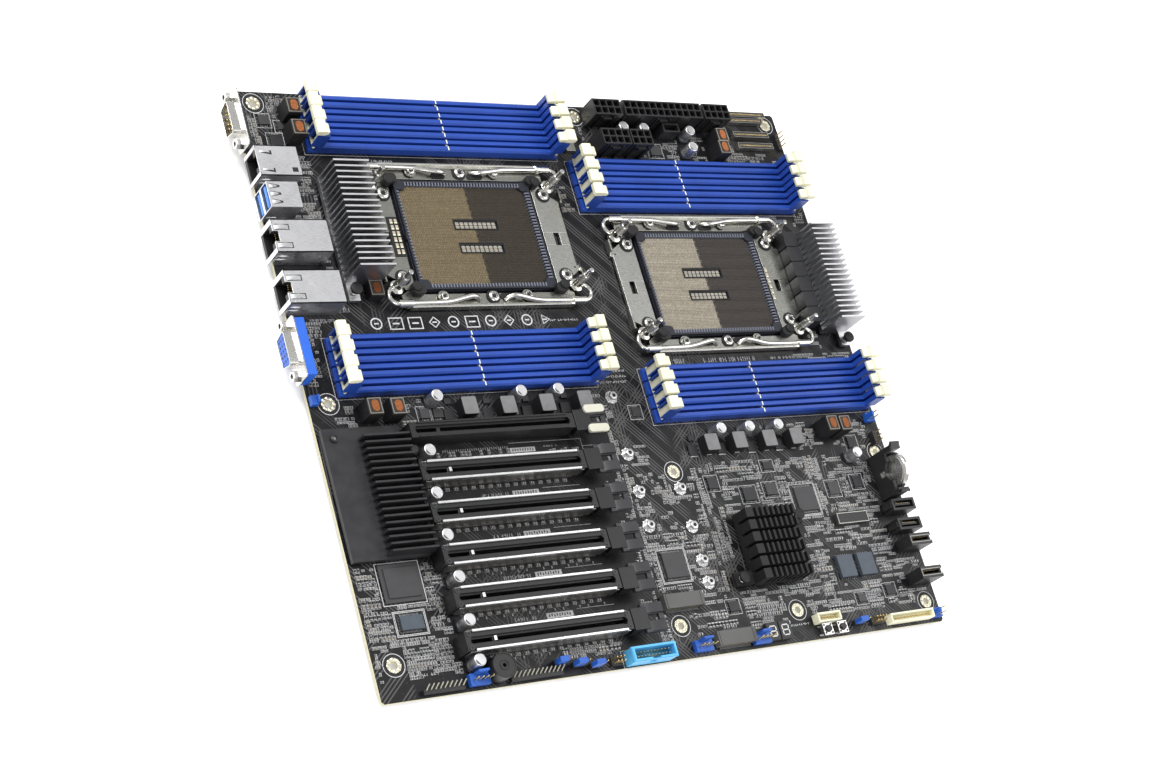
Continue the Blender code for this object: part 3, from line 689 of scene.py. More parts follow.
def screw(x, y, z, radius):
    """A button-head screw: its head with a socket, the star at the socket's floor, and its flange."""
    wide, narrow, socket = radius * 0.85, radius * 0.56, radius * 0.48
    rise = ((radius, 0), (radius, 0.6), (wide, 1.1), (narrow, 1.3), (socket, 0.7), (0, 0.7))
    profile = [(r, z + up) for r, up in rise]
    star = []
    for k in range(12):
        reach, turn = radius * (0.46 - 0.14 * (k % 2)), math.pi * k / 6
        star.append((x + reach * math.cos(turn), y + reach * math.sin(turn)))
    flange = disc(x, y, [(radius + 0.9, z - 0.5), (radius + 0.9, z - 0.05)], 24)
    return disc(x, y, profile), prism(star, "z", z + 0.6, z + 1.0), flange


def make_socket(number, colours):
    """A frame with comb-toothed edges round two fields of contacts, with small capacitors in two windows. The left
    field takes the lighter finish and the right field the darker one, painted as the lit and the shaded half of
    the same contacts.
    """
    node = f"cpu_socket_{number}"
    x0, x1, y0, y1, _, top = extent(node)
    x, y = (x0 + x1) / 2, (y0 + y1) / 2
    piece = Piece(f"socket_{number}")
    piece.add("comb", prism(rounded(x, y, x1 - x0, y1 - y0, 3), "z", 0.35, 2.4))
    piece.add("comb", frame_ring(x, y, x1 - x0 - 0.6, y1 - y0 - 0.6, 1.4, 2.3, top))
    left, right, low, high = x - 36.4, x + 35.0, y - 26.6, y + 26.6
    for k in range(42):
        for end, inner in ((y0 + 1.2, low - 0.2), (y1 - 1.2, high + 0.2)):
            piece.add("tooth", block(left + 0.6 + k * 1.7, left + 1.3 + k * 1.7, end, inner, 2.4, top + 0.05))
    for k in range(31):
        for end, inner in ((x0 + 1.2, left - 0.2), (x1 - 1.2, right + 0.2)):
            piece.add("tooth", block(end, inner, low + 0.6 + k * 1.7, low + 1.3 + k * 1.7, 2.4, top + 0.05))
    for sx, sy in CORNERS:
        cx, cy = (right if sx > 0 else left), (high if sy > 0 else low)
        turn = {(1, 1): 0, (-1, 1): 90, (-1, -1): 180, (1, -1): 270}[sx, sy]
        fill = [(cx, cy), *arc(cx - sx * 4.4, cy - sy * 4.4, 4.4, turn + 90, turn)]
        corner = rounded(x + sx * (x1 - x0 - 6.4) / 2, y + sy * (y1 - y0 - 5.6) / 2, 6.0, 5.2, 1.8)
        piece.add("comb", prism(fill, "z", 2.3, 3.5), prism(corner, "z", 2.3, top + 0.1))
    piece.add("matte_black", centred(x0 + 0.4, y - 1.1, 1.2, 3.2, 1.0, top + 0.06))
    split, field_top = x + (1.0 if number == 1 else -1.0), 3.0
    windows = ((y - 9.9, y - 4.1), (y + 3.1, y + 8.9))
    window_x0 = x - (10.3 if number == 1 else 14.6)
    window_x1 = window_x0 + 25.4
    for bottom, above in ((low, windows[0][0]), (windows[0][1], windows[1][0]), (windows[1][1], high)):
        piece.add(colours[0], block(left, split, bottom, above, 2.3, field_top))
        piece.add(colours[1], block(split, right, bottom, above, 2.3, field_top))
    for bottom, above in windows:
        piece.add(colours[0], block(left, window_x0, bottom, above, 2.3, field_top))
        piece.add(colours[1], block(window_x1, right, bottom, above, 2.3, field_top))
        middle = ((window_x0 + window_x1) / 2, (bottom + above) / 2)
        walls = frame_ring(*middle, window_x1 - window_x0, above - bottom, 0.6, 2.3, field_top + 0.5)
        # The walls are the black seat; the black strip along each window's upper (higher y) side is painted shade
        # under that wall.
        piece.add("matte_black", walls, block(window_x0, window_x1, above - 1.3, above, 2.3, field_top + 0.2))
        for k in range(9):
            for cap_y in (bottom + 1.65, bottom + 3.55):
                cap_x = window_x0 + 2.1 + k * 2.6
                piece.add("cap_pale", centred(cap_x, cap_y, 1.9, 1.5, 2.3, 2.75))
                piece.add("tin", centred(cap_x, cap_y, 2.1, 0.6, 2.3, 2.8))
    piece.build(replaces=(node,), slot="socket_contacts", bevel=0.1, segments=1)

    contacts = Piece(f"socket_contacts_{number}")
    for i in range(75):
        for j in range(55):
            cx, cy = left + 0.75 + i * 0.945, low + 0.8 + j * 0.955
            if window_x0 - 0.6 < cx < window_x1 + 0.6 and any(a - 0.5 < cy < b + 0.5 for a, b in windows):
                continue
            inset_x, inset_y = min(cx - left, right - cx), min(cy - low, high - cy)
            if max(inset_x, inset_y) < 4.2 and math.hypot(4.4 - inset_x, 4.4 - inset_y) > 4.2:
                continue
            # The halves lean opposite ways; their two finishes are painted lit and shaded copies of the same
            # contacts.
            left_field = cx < split + (0.9 if j % 4 < 2 else 0)
            finish, lean = (colours[0], 0.22) if left_field else (colours[1], -0.22)
            tip = [(-0.2, -0.02), (0.2, -0.02), (0.12 + lean, 0.3), (lean - 0.06, 0.3)]
            contacts.add(finish, prism([(cx + px, field_top + pz) for px, pz in tip], "y", cy - 0.15, cy + 0.15))
    contacts.build(slot="socket_contacts")


def make_bolster(number):
    """The plate round a socket: side plates, rails with sprung wires, load studs and screws."""
    node = f"bolster_plate_{number}"
    x0, x1, y0, y1, _, _ = extent(node)
    x, y = (x0 + x1) / 2, (y0 + y1) / 2
    first = number == 1
    plate = Piece(f"bolster_{number}")
    half_side = ((46.0, 29.0), (49.0, 24.0), (55.2, 20.0))
    side = [(40.7, -29.0), *[(px, -py) for px, py in half_side], *half_side[::-1], (40.7, 29.0)]
    for sx in SIDES:
        outline = [(x + sx * px, y + py) for px, py in side]
        finish = "pale_steel" if sx == (1 if first else -1) else "steel"
        plate.add(finish, *slotted_plate(outline, x + sx * (48.5 if sx * number != 2 else 46.9), y - 1.5, sx))
        plate.add(finish, block(x + sx * 55.0, x + sx * 56.6, y - sx * 19.6, y - sx * 16.4, 0.7, 2.3))
        plate.add("matte_black", disc(x + sx * 53.8, y - sx * 17.6, [(0.6, 2.2), (0.6, 2.56)], 12))
    rail = (
        (-49.0, 31.8), (-44.5, 29.2), (-40.9, 29.2), (-40.9, 31.4), (40.9, 31.4), (40.9, 29.2),
        (44.5, 29.2), (49.0, 31.8), (49.0, 36.4), (47.5, 38.6), (-47.5, 38.6), (-49.0, 36.4),
    )
    for sy in SIDES:
        plate.add("steel", prism([(x + px, y + sy * py) for px, py in rail], "z", 0.7, 2.4))
        plate.add("spring_steel", block(x - 46, x + 46, y + sy * 38.3, y + sy * 39.4, 0.7, 4.6))
        plate.add("steel", block(x - 46, x + 46, y + sy * 37.2, y + sy * 38.4, 2.4, 3.4))
        for dx, width in ((-11.5, 8.0), (9.5, 9.0)):
            pad = rounded(x + dx, y + sy * 33.4, width, 3.4, 1.6)
            plate.add("matte_black", prism(pad, "z", 2.3, 2.9))
    plate.build(replaces=(node,), slot="bolster_steel", bevel=0.2)

    springs = Piece(f"bolster_springs_{number}")
    bend = (
        (47.0, 37.0, 4.3), (30.0, 36.8, 4.3), (23.0, 36.2, 4.5), (17.0, 35.0, 5.1), (12.0, 34.2, 5.4),
        (8.6, 34.6, 4.0), (7.4, 35.4, 2.6),
    )
    for sx, sy in CORNERS:
        wire = [(x + sx * px, y + sy * py, z) for px, py, z in bend]
        sleeve = rod((y + sy * 37.2, 4.4), 1.9, "x", x + sx * 45.5, x + sx * 53.0)
        hook = [(x + sx * (53.0 + px), y + sy * (32.9 + py), 4.4) for px, py in arc(0, 0, 4.3, 90, -80, 12)]
        springs.add("spring_steel", tube(smooth_path(wire), 1.25, 12), sleeve, tube(hook, 1.15, 10))
    springs.build(slot="bolster_steel")

    fixings = Piece(f"bolster_fixings_{number}")
    for sx, sy in CORNERS:
        cx, cy = x + sx * 51.0, y + sy * 28.0
        collar = [(2.6, 1.2), (3.7, 1.6), (3.7, 3.4), (2.9, 3.9), (2.2, 4.1), (2.2, 8.0)]
        thread = [(2.16 - 0.22 * (k % 2), 8.0 + 0.4 * k) for k in range(16)]
        fixings.add("spring_steel", disc(cx, cy, collar))
        fixings.add("thread", disc(cx, cy, [*thread, (1.4, 14.4), (1.4, 18.6)]))
        fixings.add("spring_steel", disc(cx, cy, [(1.4, 18.5), (1.2, 19.3), (0, 19.5)]))
        clip = [(cx - 3.2, cy, 3.0), (cx - 3.2, cy, 9.0), (cx - 3.1, cy + 0.2, 13.0)]
        clip += [(cx - 3.8, cy - 0.6, 14.4), (cx - 5.2, cy - 1.0, 14.2)] if sy < 0 else []
        fixings.add("steel", tube(smooth_path(clip), 0.5, 8))
        post = rounded(x + sx * 40.6, y + sy * 30.3, 7.0, 5.0, 2.0)
        knob = disc(x + sx * 42.0, y + sy * 29.0, [(2.6, 2.5), (2.6, 7.0), (2.0, 7.6), (0, 7.6)])
        fixings.add("matte_black", prism(post, "z", 2.5, 6.2), knob)
    for dx, dy, radius in SCREWS:
        head, star, flange = screw(x + dx, y + dy, 3.6 if radius < 2.5 else 3.0, radius)
        # The black star is painted shade at the floor of each screw's socket; the black flange under the large
        # screws is a painted shadow ring.
        fixings.add("screw", head).add("matte_black", star)
        fixings.add("matte_black" if radius > 2.8 else "steel", flange)
        fixings.add("steel", disc(x + dx, y + dy, [(2.0, 0.4), (2.0, 3.2)]))
    if first:
        fixings.add("matte_black", block(x - 46.8, x - 40.8, y - 11.4, y + 10.3, 2.4, 2.75))
    for column in (-44.6, -42.2) if first else (41.4,):
        for k in range(6):
            cap_y = y - 8.6 + k * 3.3
            fixings.add("cap_pale", centred(x + column, cap_y, 1.5, 2.0, 2.7, 3.1))
            fixings.add("cream", centred(x + column, cap_y - 1.1, 1.5, 0.55, 2.7, 3.14))
    ear = [(0, 0.7), (0.8, 0.7), (0.8, 3.6), (0.3, 4.4), (-0.5, 4.4)]
    for sx, sy in CORNERS if first else CORNERS[:2]:
        tab = prism([(x + sx * (56.2 + px), z) for px, z in ear], "y", y + sy * 18.5, y + sy * 25.5)
        fixings.add("steel", tab)
    fixings.build(slot="bolster_steel", bevel=0.08, segments=1)
    dress(f"backplate_{number}", "steel")


def slotted_plate(outline, hole_x, hole_y, sx):
    """A side plate in four pieces, which leave its slot open."""
    xs = [p[0] for p in outline]
    inner, outer = (min(xs), max(xs)) if sx > 0 else (max(xs), min(xs))
    low, high = hole_y - 3.5, hole_y + 3.5
    upper = [p for p in outline if p[1] > high]
    lower = [p for p in outline if p[1] < low]
    over = [(inner, high), (outer, high)][:: 1 if upper[0][0] == outer else -1]
    under = [(outer, low), (inner, low)][:: 1 if lower[-1][0] == outer else -1]
    return (
        prism(upper + over, "z", 0.7, 2.5),
        prism(lower + under, "z", 0.7, 2.5),
        block(inner, hole_x - sx * 1.7, low, high, 0.7, 2.5),
        block(hole_x + sx * 1.7, outer, low, high, 0.7, 2.5),
    )


# Heat sinks


def push_pin(piece, x, y, z, shaft):
    """A plastic push pin with a spring under its head."""
    coil = []
    for t in range(44):
        coil.append((x + 1.9 * math.cos(t / 2), y + 1.9 * math.sin(t / 2), z + 0.5 + t * (shaft - 0.8) / 44))
    top = z + shaft
    head = [(1.3, z), (1.3, top), (3.0, top + 0.2), (3.0, top + 1.4), (1.2, top + 2.2), (0, top + 2.0)]
    piece.add("steel", tube(coil, 0.25, 6))
    piece.add("matte_black", disc(x, y, head))


def make_heat_sinks():
    """The four heat sinks' finishes, and the push pins, screw and posts that hold them."""
    for node in ("regulator_heatsink_rear", "regulator_heatsink_front"):
        dress(node, "fin_aluminium")
    dress("low_heatsink", "dark_aluminium")
    dress("chipset_heatsink", "matte_black")
    pins = Piece("push_pins")
    for x, y in ((35.2, 195.6), (324.4, 161.6)):
        push_pin(pins, x, y, 3.6, 3.2)
    for x, y in ((205.8, 34.6), (251.6, 64.2)):
        push_pin(pins, x, y, 4.2, 2.4)
    head, star, _ = screw(6.4, 122.2, 3.9, 1.9)
    pins.add("black", head).add("steel", star)
    for x, y in ((44.0, 114.0), (43.0, 79.0)):
        pins.add("black", disc(x, y, [(2.6, 0.3), (2.6, 6.0), (1.8, 6.8), (0, 6.8)]))
    pins.build(slot="connector_black")


# Expansion slots


def make_slots():
    """Each slot's contacts and key, and on all but the first a steel shield with rails along the top."""
    for number in range(1, 7):
        node = f"pcie_slot_{number}"
        dress(node, "slot_black")
        x0, x1, y0, y1, _, top = extent(node)
        y = (y0 + y1) / 2
        key = x0 + 15.15
        trim = Piece(f"slot_trim_{number}")
        if number > 1:
            for side in SIDES:
                edge, wall = y + side * 4.45, y + side * 4.85
                section = [(edge - 0.6, top - 2.0), (edge + 0.6, top - 2.0), (edge + 0.6, top + 0.25),
                           (edge + 0.4, top + 0.45), (edge - 0.4, top + 0.45), (edge - 0.6, top + 0.25)]
                trim.add("rail", prism(section, "x", x0 + SLOT_ENDS_IN, x1 - SLOT_ENDS_IN))
                trim.add("thread", block(x0 + 1.5, x1 - 1.5, wall - 0.12, wall + 0.12, 2.6, top - 1.4))
                for x in (x0 + 2.0, x1 - 2.0):
                    trim.add("grey", washer(x, edge - side * 1.2, 0.5, 1.2, top - 1.0, top - 0.3, 16))
                for k in range(82):
                    trim.add("tin", centred(x0 + 3.4 + k, y + side * 4.9, 0.4, 0.5, 0.1, 2.2))
            trim.add("rail", centred(key, y, 1.4, 2.0, top - 2.6, top - 0.6))
        for side in SIDES:
            for k in range(82):
                x = x0 + 3.2 + k
                if abs(x - key) > 1.2:
                    # The contacts take the dark brown contact finish: painted shade deep in the slot, in place of
                    # their gold.
                    trim.add("field_brown", centred(x, y + side * 0.8, 0.4, 0.2, 2.7, 5.6))
        trim.build(slot="connector_black")
        make_card_latch(number, x1 + 0.4, y)


def make_card_latch(number, end, y):
    """A lever beyond the slot: a notched body, a thumb pad on each side of a slit, and a foot on its pivot."""
    node = f"pcie_latch_{number}"
    piece = Piece(f"card_latch_{number}")
    foot = [(1.4, 2.4), (5.0, 2.4), (7.4, 7.6), (9.0, 8.0), (9.0, 11.0), (0.3, 10.6), (0.3, 8.6)]
    arm = [(6.5, 7.6), (18.3, 8.6), (18.3, 10.4), (6.5, 10.4)]
    pad = [(8.5, 10.2), (18.2, 10.2), (18.2, 11.2), (17.2, 12.1), (10.2, 11.4)]
    piece.add("slot_black", prism([(end + x, z) for x, z in foot], "y", y - 5.4, y + 5.4))
    for side in SIDES:
        piece.add("grey", prism([(end + x, z) for x, z in arm], "y", y + side * 1.4, y + side * 7.2))
        piece.add("grey", prism([(end + x, z) for x, z in pad], "y", y + side * 1.9, y + side * 6.9))
    piece.add("grey", block(end + 15.4, end + 18.3, y - 1.6, y + 1.6, 8.6, 10.4))
    if number == 1:
        for side in SIDES:
            pale_pad = rounded(end + 12.0, y + side * 5.1, 11.6, 4.2, 1.6)
            piece.add("latch_pad", prism(pale_pad, "z", 10.3, 12.15))
    piece.build(node, (node,), slot="latch_grey", bevel=0.3)


# Rear ports


def spring_tab(x, y, z, length, width, lift):
    """A tongue cut in a shell's top and pressed up a little, running along x."""
    end, above = x + length, z + 0.12
    points = [(x, z), (end, z), (end, above), (x + length * 0.5, above + lift), (x, above)]
    return prism(points, "y", y - width / 2, y + width / 2)


def jack(node, tab_up):
    """A shielded network jack: a shell, a black body with a mouth, sprung pins, and tongues cut in the top."""
    x0, x1, y0, y1, z0, z1 = extent(node)
    y, half, t = (y0 + y1) / 2, (y1 - y0) / 2, 0.5
    mouth, low, high, depth = 5.9, 2.4, 9.6, 12.5
    inside, roof = x0 + depth, z1 - t
    notch = x0 + (2.7 if tab_up else 0.0)
    piece = Piece(f"{node}_shell")
    piece.add("shell", block(notch, x1, y0, y1, roof, z1), block(inside, x1, y0 + t, y1 - t, z0, roof))
    if tab_up:
        piece.add("shell", block(x0, notch, y0, y - 3.0, roof, z1), block(x0, notch, y + 2.4, y1, roof, z1))
    for side in SIDES:
        outer = y + side * half
        inner, cheek = outer - side * t, y + side * mouth
        piece.add("shell", block(x0, x1, outer, inner, z0, z1))
        piece.add("shell", block(x0 - 0.02, x0 + 0.3, y + side * 6.1, outer, z0, z1))
        piece.add("black", block(x0 + 0.3, inside, cheek, inner, z0, roof))
        piece.add("black", block(x0 + 0.3, inside, y + side * 3, cheek, high, roof))
        for z in (low + 2.0, low + 5.2):
            flap = [(x0 + 1.0, outer), (x0 + 7.0, outer), (x0 + 4.0, outer + side * 0.45)]
            piece.add("shell", prism(flap, "z", z, z + 1.8))
        piece.add("shell", block(x1 - 6, x1 - 4.4, outer, outer - side * 0.4, -3.6, z0 + 0.2))
    piece.add("black", block(x0 + 0.3, inside, y - mouth, y + mouth, z0, low))
    for k in range(8):
        pin = y - 3.6 + k * 1.02
        piece.add("gold", tube([(x0 + 11.8, pin, 8.6), (x0 + 7.5, pin, 6.2), (x0 + 3.6, pin, 7.6)], 0.16, 6))
    slit = (
        (-2.0, 1.5), (5.4, 1.5), (5.4, -1.5), (-2.0, -1.5), (-2.0, -1.1), (4.9, -1.1), (4.9, 1.1),
        (-2.0, 1.1),
    )
    for centre in (y + 4.4, y - 5.0):
        if tab_up:
            cut = [(px + x0 + 3.2, centre + py) for px, py in slit]
            tab = spring_tab(x0 + 1.2, centre, z1, 6.6, 1.9, 0.7)
        else:
            cut = [(x0 + 1.7, centre - 0.4), (x0 + 7.9, centre - 1.5), (x0 + 7.9, centre + 0.9)]
            tab = spring_tab(x0 + 2.0, centre, z1, 5.0, 0.9, 0.5)
        # The black cut round each tongue is a thin sheet on the shell top: painted shade standing for the open
        # slit.
        piece.add("matte_black", prism(cut, "z", z1 - 0.1, z1 + 0.03))
        piece.add("shell", tab)
    if not tab_up:
        piece.add("matte_black", block(x1 - 4.4, x1 - 1.5, y - 6.0, y - 3.6, z1 - 0.1, z1 + 0.03))
    seam = y - half * 0.24
    piece.add("frame_black", block(x1 - 0.01, x1 + 0.02, seam, seam + 0.15, z0, roof))
    piece.build(replaces=(node,), slot="port_nickel", bevel=0.12, segments=1)


def make_usb_stack():
    """Two stacked sockets in one shell, with blue tongues and sprung tabs."""
    node = "usb_port_stack"
    x0, x1, y0, y1, z0, z1 = extent(node)
    y, t = (y0 + y1) / 2, 0.4
    back = x1 - 1.8
    piece = Piece("usb_stack_shell")
    piece.add("shell", block(x0, x1, y0, y1, z1 - t, z1), block(back, x1, y0 + t, y1 - t, z0, z1 - t))
    for a, b in ((y0, y0 + t), (y1 - t, y1)):
        piece.add("shell", block(x0, x1, a, b, z0, z1 - t))
    for a, b in ((z0, 1.4), (7.0, 8.6)):
        piece.add("shell", block(x0, back, y0 + t, y1 - t, a, b))
    for low in (1.4, 8.8):
        piece.add("tongue_blue", block(x0 + 0.3, back, y - 5.2, y + 5.2, low + 2.5, low + 4.6))
        for k in range(4):
            contact = y - 3.6 + k * 2.1
            piece.add("gold", block(x0 + 1.4, x0 + 8.0, contact, contact + 1.0, low + 2.35, low + 2.52))
        piece.add("tongue_blue", block(x0 + 8.5, back, y0 + t, y1 - t, low, low + 5.2))
    slit = ((0.9, -1.5), (1.5, -1.5), (6.4, -0.5), (6.4, 0.5), (1.5, 1.5), (0.9, 1.5), (5.4, 0.0))
    for shift in (-4.0, 0.2, 4.2):
        cut = [(x0 + px, y + shift + py) for px, py in slit]
        # Each black cut is a thin sheet on the shell top: painted shade standing for the open slit.
        piece.add("matte_black", prism(cut, "z", z1 - 0.05, z1 + 0.03))
        piece.add("shell", spring_tab(x0 + 1.2, y + shift, z1, 3.6, 1.0, 0.5))
    for side in SIDES:
        piece.add("shell", spring_tab(x0 + 1.6, y + side * 6.62, 5.0, 5.0, 0.3, 0.3))
    piece.build(replaces=(node,), slot="port_nickel", bevel=0.1, segments=1)


def d_outline(y, half, low, high, corner=1.4):
    """The section of a D-shaped shell, wider at the top."""
    lean = 1.0
    points = arc(y - half + lean + corner, low + corner, corner, 190, 270, 4)
    points += arc(y + half - lean - corner, low + corner, corner, 270, 350, 4)
    points += arc(y + half - corner, high - corner, corner, -10, 90, 5)
    return points + arc(y - half + corner, high - corner, corner, 90, 190, 5)


def hollow_d(y, half, low, high, x0, x1, wall):
    """A D-shaped shell open at both ends."""
    outer = d_outline(y, half, low, high)
    inner = d_outline(y, half - wall, low + wall, high - wall, 1.4 - wall / 2)
    count = len(outer)
    points = [(x, *p) for x in (x0, x1) for p in outer + inner]
    faces = []
    for i in range(count):
        j = (i + 1) % count
        faces += [(i, j, j + 2 * count, i + 2 * count), (j + count, i + count, i + 3 * count, j + 3 * count)]
        faces += [(j, i, i + count, j + count), (i + 2 * count, j + 2 * count, j + 3 * count, i + 3 * count)]
    return points, faces


def make_d_ports():
    """The serial and video ports: a flange, a D-shaped shell, rows of contacts, and two hex jack screws."""
    for node, rows in (("serial_port", (5, 4)), ("video_port", (5, 5, 5))):
        x0, x1, y0, y1, z0, z1 = extent(node)
        y, video = (y0 + y1) / 2, node == "video_port"
        piece = Piece(f"{node}_shell")
        flange = rounded(y, (z0 + z1) / 2, y1 - y0, z1 - z0, 1.6)
        piece.add("nickel", prism(flange, "x", -3.6, -2.9), hollow_d(y, 8.4, 2.2, 10.6, x0, -2.9, 0.5))
        if video:
            piece.add("video_blue", block(-2.9, x1, y0 + 1.2, y1 - 1.2, z0, z1 - 0.8))
            piece.add("video_blue", prism(d_outline(y, 7.7, 2.9, 9.9, 1.1), "x", x0 + 0.2, -2.9))
        else:
            piece.add("frame_black", block(-2.9, x1, y0 + 1.6, y1 - 1.6, z0, 4.8))
        for row, count in enumerate(rows):
            height = 6.4 + (len(rows) - 1) * 1.15 - row * 2.3
            for k in range(count):
                centre = (0, y + (k - (count - 1) / 2) * 2.5, height)
                if video:
                    # Each contact hole is a thin black disc on the insert's face: painted shade for the inside of
                    # the hole.
                    piece.add("matte_black", turned([(0.6, x0 + 0.15), (0.6, x0 + 0.28)], centre, "x", 8))
                else:
                    piece.add("gold", turned([(0.45, x0 + 1.0), (0.5, x0 + 1.6), (0.5, -3.4)], centre, "x", 8))
        for side in SIDES:
            centre = (0, y + side * 12.5, 6.4)
            nut = [(1.3, x0 + 1.2), (2.6, x0 + 1.2), (2.75, x0 + 1.6), (2.75, -3.6), (1.3, -3.6)]
            piece.add("nickel", turned(nut, centre, "x", 6, loop=True))
            # A black plug at the back of each nut's bore is painted shade inside the thread.
            piece.add("frame_black", turned([(1.3, -4.6), (1.3, -3.6)], centre, "x", 12))
        piece.build(replaces=(node,), slot="port_blue" if video else "port_nickel", bevel=0.12, segments=1)


# Power connectors


def make_power():
    """Pins, keyed corners, a latch ramp and ribs for each power connector."""
    for node in ("board_power_24pin", "cpu_power_8pin_1", "cpu_power_8pin_2", "aux_power_8pin", "aux_power_6pin"):
        dress(node, "black")
        x0, x1, y0, y1, z0, z1 = extent(node)
        count = round((x1 - x0 - 4.9) / 4.2) + 1
        piece = Piece(f"{node}_details")
        for i in range(count):
            for side in SIDES:
                x, y = x0 + 2.45 + i * 4.2, (y0 + y1) / 2 + side * 2.1
                piece.add("nickel", disc(x, y, [(0.62, 4.0), (0.62, 10.0), (0.3, 10.8)], 8))
                if (i * 2 + (side > 0)) % 3:
                    for dx in SIDES:
                        corner = [(x + dx * 1.75, y - 1.75), (x + dx * 0.9, y - 1.75), (x + dx * 1.75, y - 0.9)]
                        piece.add("black", prism(corner, "z", 4.0, z1))
        middle = (x0 + x1) / 2
        ramp = [(y0, 6.5), (y0 - 1.3, 10.0), (y0 - 1.3, 11.0), (y0, 11.0)]
        piece.add("black", prism(ramp, "x", middle - 2.6, middle + 2.6))
        for x in (middle - 4.0, middle + 4.0):
            piece.add("black", block(x - 0.5, x + 0.5, y0 - 0.9, y0, z0, z1 - 1.5))
        for k in range(int(count / 2)):
            rib = x0 + 2.0 + 8.4 * k
            piece.add("black", block(rib, rib + 0.6, y0 - 0.35, y0, z0, z1))
        piece.build(slot="connector_black", bevel=0.1, segments=1)


# Battery, cable connectors, buttons


def make_front_edge():
    """The battery, the upright cable connectors, the card sockets' contacts and the buzzer's rings."""
    for node in ("battery_holder", "sata_port_1", "sata_port_2", "slim_port_1", "slim_port_2", "buzzer"):
        dress(node, "black")
    for node in ("card_socket_1", "card_socket_2"):
        dress(node, "pale_grey")
    x0, x1, y0, y1, z0, z1 = extent("coin_cell")
    cell = Piece("lithium_cell")
    t = x1 - x0
    profile = [(0, 0), (8.3, 0), (8.7, 0.35), (9.3, 0.45), (9.6, 0.75), (10.0, 1.1)]
    profile += [(10.0, t - 0.35), (9.7, t), (0, t)]
    cell.add("nickel", turned(profile, (x0, (y0 + y1) / 2, (z0 + z1) / 2), "x", 56))
    cell.build("coin_cell", ("coin_cell",), slot="cell_nickel")

    details = Piece("front_edge_details")
    x0, x1, y0, y1, _, top = extent("battery_holder")
    clip = [(y1 - 2.4, top - 0.2), (y1 + 1.4, top + 1.4), (y1 + 1.8, top + 0.4), (y1 - 0.4, top - 2.0)]
    hook = [(y0 + 0.2, 13.0), (y0 - 0.9, 16.4), (y0 + 0.4, 16.8), (y0 + 2.0, 14.0)]
    for outline in (clip, hook):
        details.add("black", prism(outline, "x", x0 + 0.6, x1 - 0.6))
    y = (y0 + y1) / 2
    details.add("nickel", centred(x0 - 0.1, y, 0.3, 3.0, 6.0, 9.0), centred(x1 + 0.15, y, 0.4, 4.0, 1.0, 15.0))
    for node in ("sata_port_1", "sata_port_2"):
        x0, _, y0, y1, _, top = extent(node)
        y = (y0 + y1) / 2
        details.add("black", block(x0 - 0.8, x0, y - 1.4, y + 1.4, 0.3, top - 0.6))
        details.add("black", block(x0 + 2.8, x0 + 3.9, y + 0.6, y + 1.9, 2.4, top - 0.9))
        for k in range(7):
            details.add("gold", centred(x0 + 4.4 + k * 1.27, y + 0.85, 0.5, 0.3, 3.0, top - 1.2))
    for node in ("slim_port_1", "slim_port_2"):
        x0, x1, y0, y1, _, top = extent(node)
        y, shield = (y0 + y1) / 2, (x1 - x0 - 1.2, y1 - y0 - 2.6)
        details.add("steel", frame_ring((x0 + x1) / 2 - 0.4, y, *shield, 0.35, top - 3.0, top + 0.2))
        for k in range(18):
            for side in SIDES:
                details.add("gold", centred(x0 + 1.9 + k * 0.6, y + side * 0.85, 0.25, 0.25, 4.2, top - 1.0))
    for x, y in ((158.0, 24.8), (178.2, 24.8), (182.4, 3.4), (202.6, 3.4)):
        details.add("pale_grey", block(x, x + 1.0, y, y + 6.6, 4.3, 4.7))
    for x0, y0 in ((157.0, 24.6), (181.4, 3.2)):
        for k in range(34):
            x = x0 + 2.2 + k * 0.56
            details.add("tin", centred(x, y0 - 0.5, 0.25, 1.2, 0.0, 0.35))
            details.add("gold", centred(x, y0 + 1.8, 0.25, 3.6, 1.95, 2.1))
    x0, x1, y0, y1, _, _ = extent("buzzer")
    x, y = (x0 + x1) / 2, (y0 + y1) / 2
    details.add("black", washer(x, y, 2.0, 2.4, 8.5, 8.9))
    rim = [(5.3, 8.5), (5.9, 8.5), (5.8, 8.85), (5.4, 8.85)]
    details.add("black", turned(rim, (x, y, 0), sides=32, loop=True))
    details.build(slot="connector_black", bevel=0.08, segments=1)


def make_usb_header():
    """The 19-pin header's pins and rim."""
    dress("usb_header", "usb_blue")
    x0, x1, y0, y1, _, top = extent("usb_header")
    x, y = (x0 + x1) / 2, (y0 + y1) / 2
    header = Piece("usb_header_details")
    for k in range(10):
        for side in SIDES:
            header.add("gold", centred(x0 + 3.3 + k * 2.0, y + side * 1.0, 0.45, 0.45, 1.5, 7.4))
    header.add("usb_blue", frame_ring(x, y, x1 - x0 + 0.6, y1 - y0 + 0.4, 0.5, top - 1.6, top - 0.4))
    header.build(slot="header_blue", bevel=0.1, segments=1)


def make_buttons():
    """The legs and the four rivets of each button's base."""
    for name in ("power_button", "reset_button"):
        dress(f"{name}_base", "nickel")
        dress(name, "black")
        x0, x1, y0, y1, _, _ = extent(f"{name}_base")
        legs = Piece(f"{name}_legs")
        for x in (x0 - 0.4, x1 + 0.4):
            for y in (y0 + 0.8, y1 - 0.8):
                legs.add("tin", centred(x, y, 1.6, 0.8, 0.0, 0.6))
        for x in (x0 + 0.9, x1 - 0.9):
            for y in (y0 + 0.9, y1 - 0.9):
                legs.add("frame_black", disc(x, y, [(0.55, 3.4), (0.5, 3.75), (0, 3.8)], 10))
        legs.build(slot="button_steel")


# Headers and pins


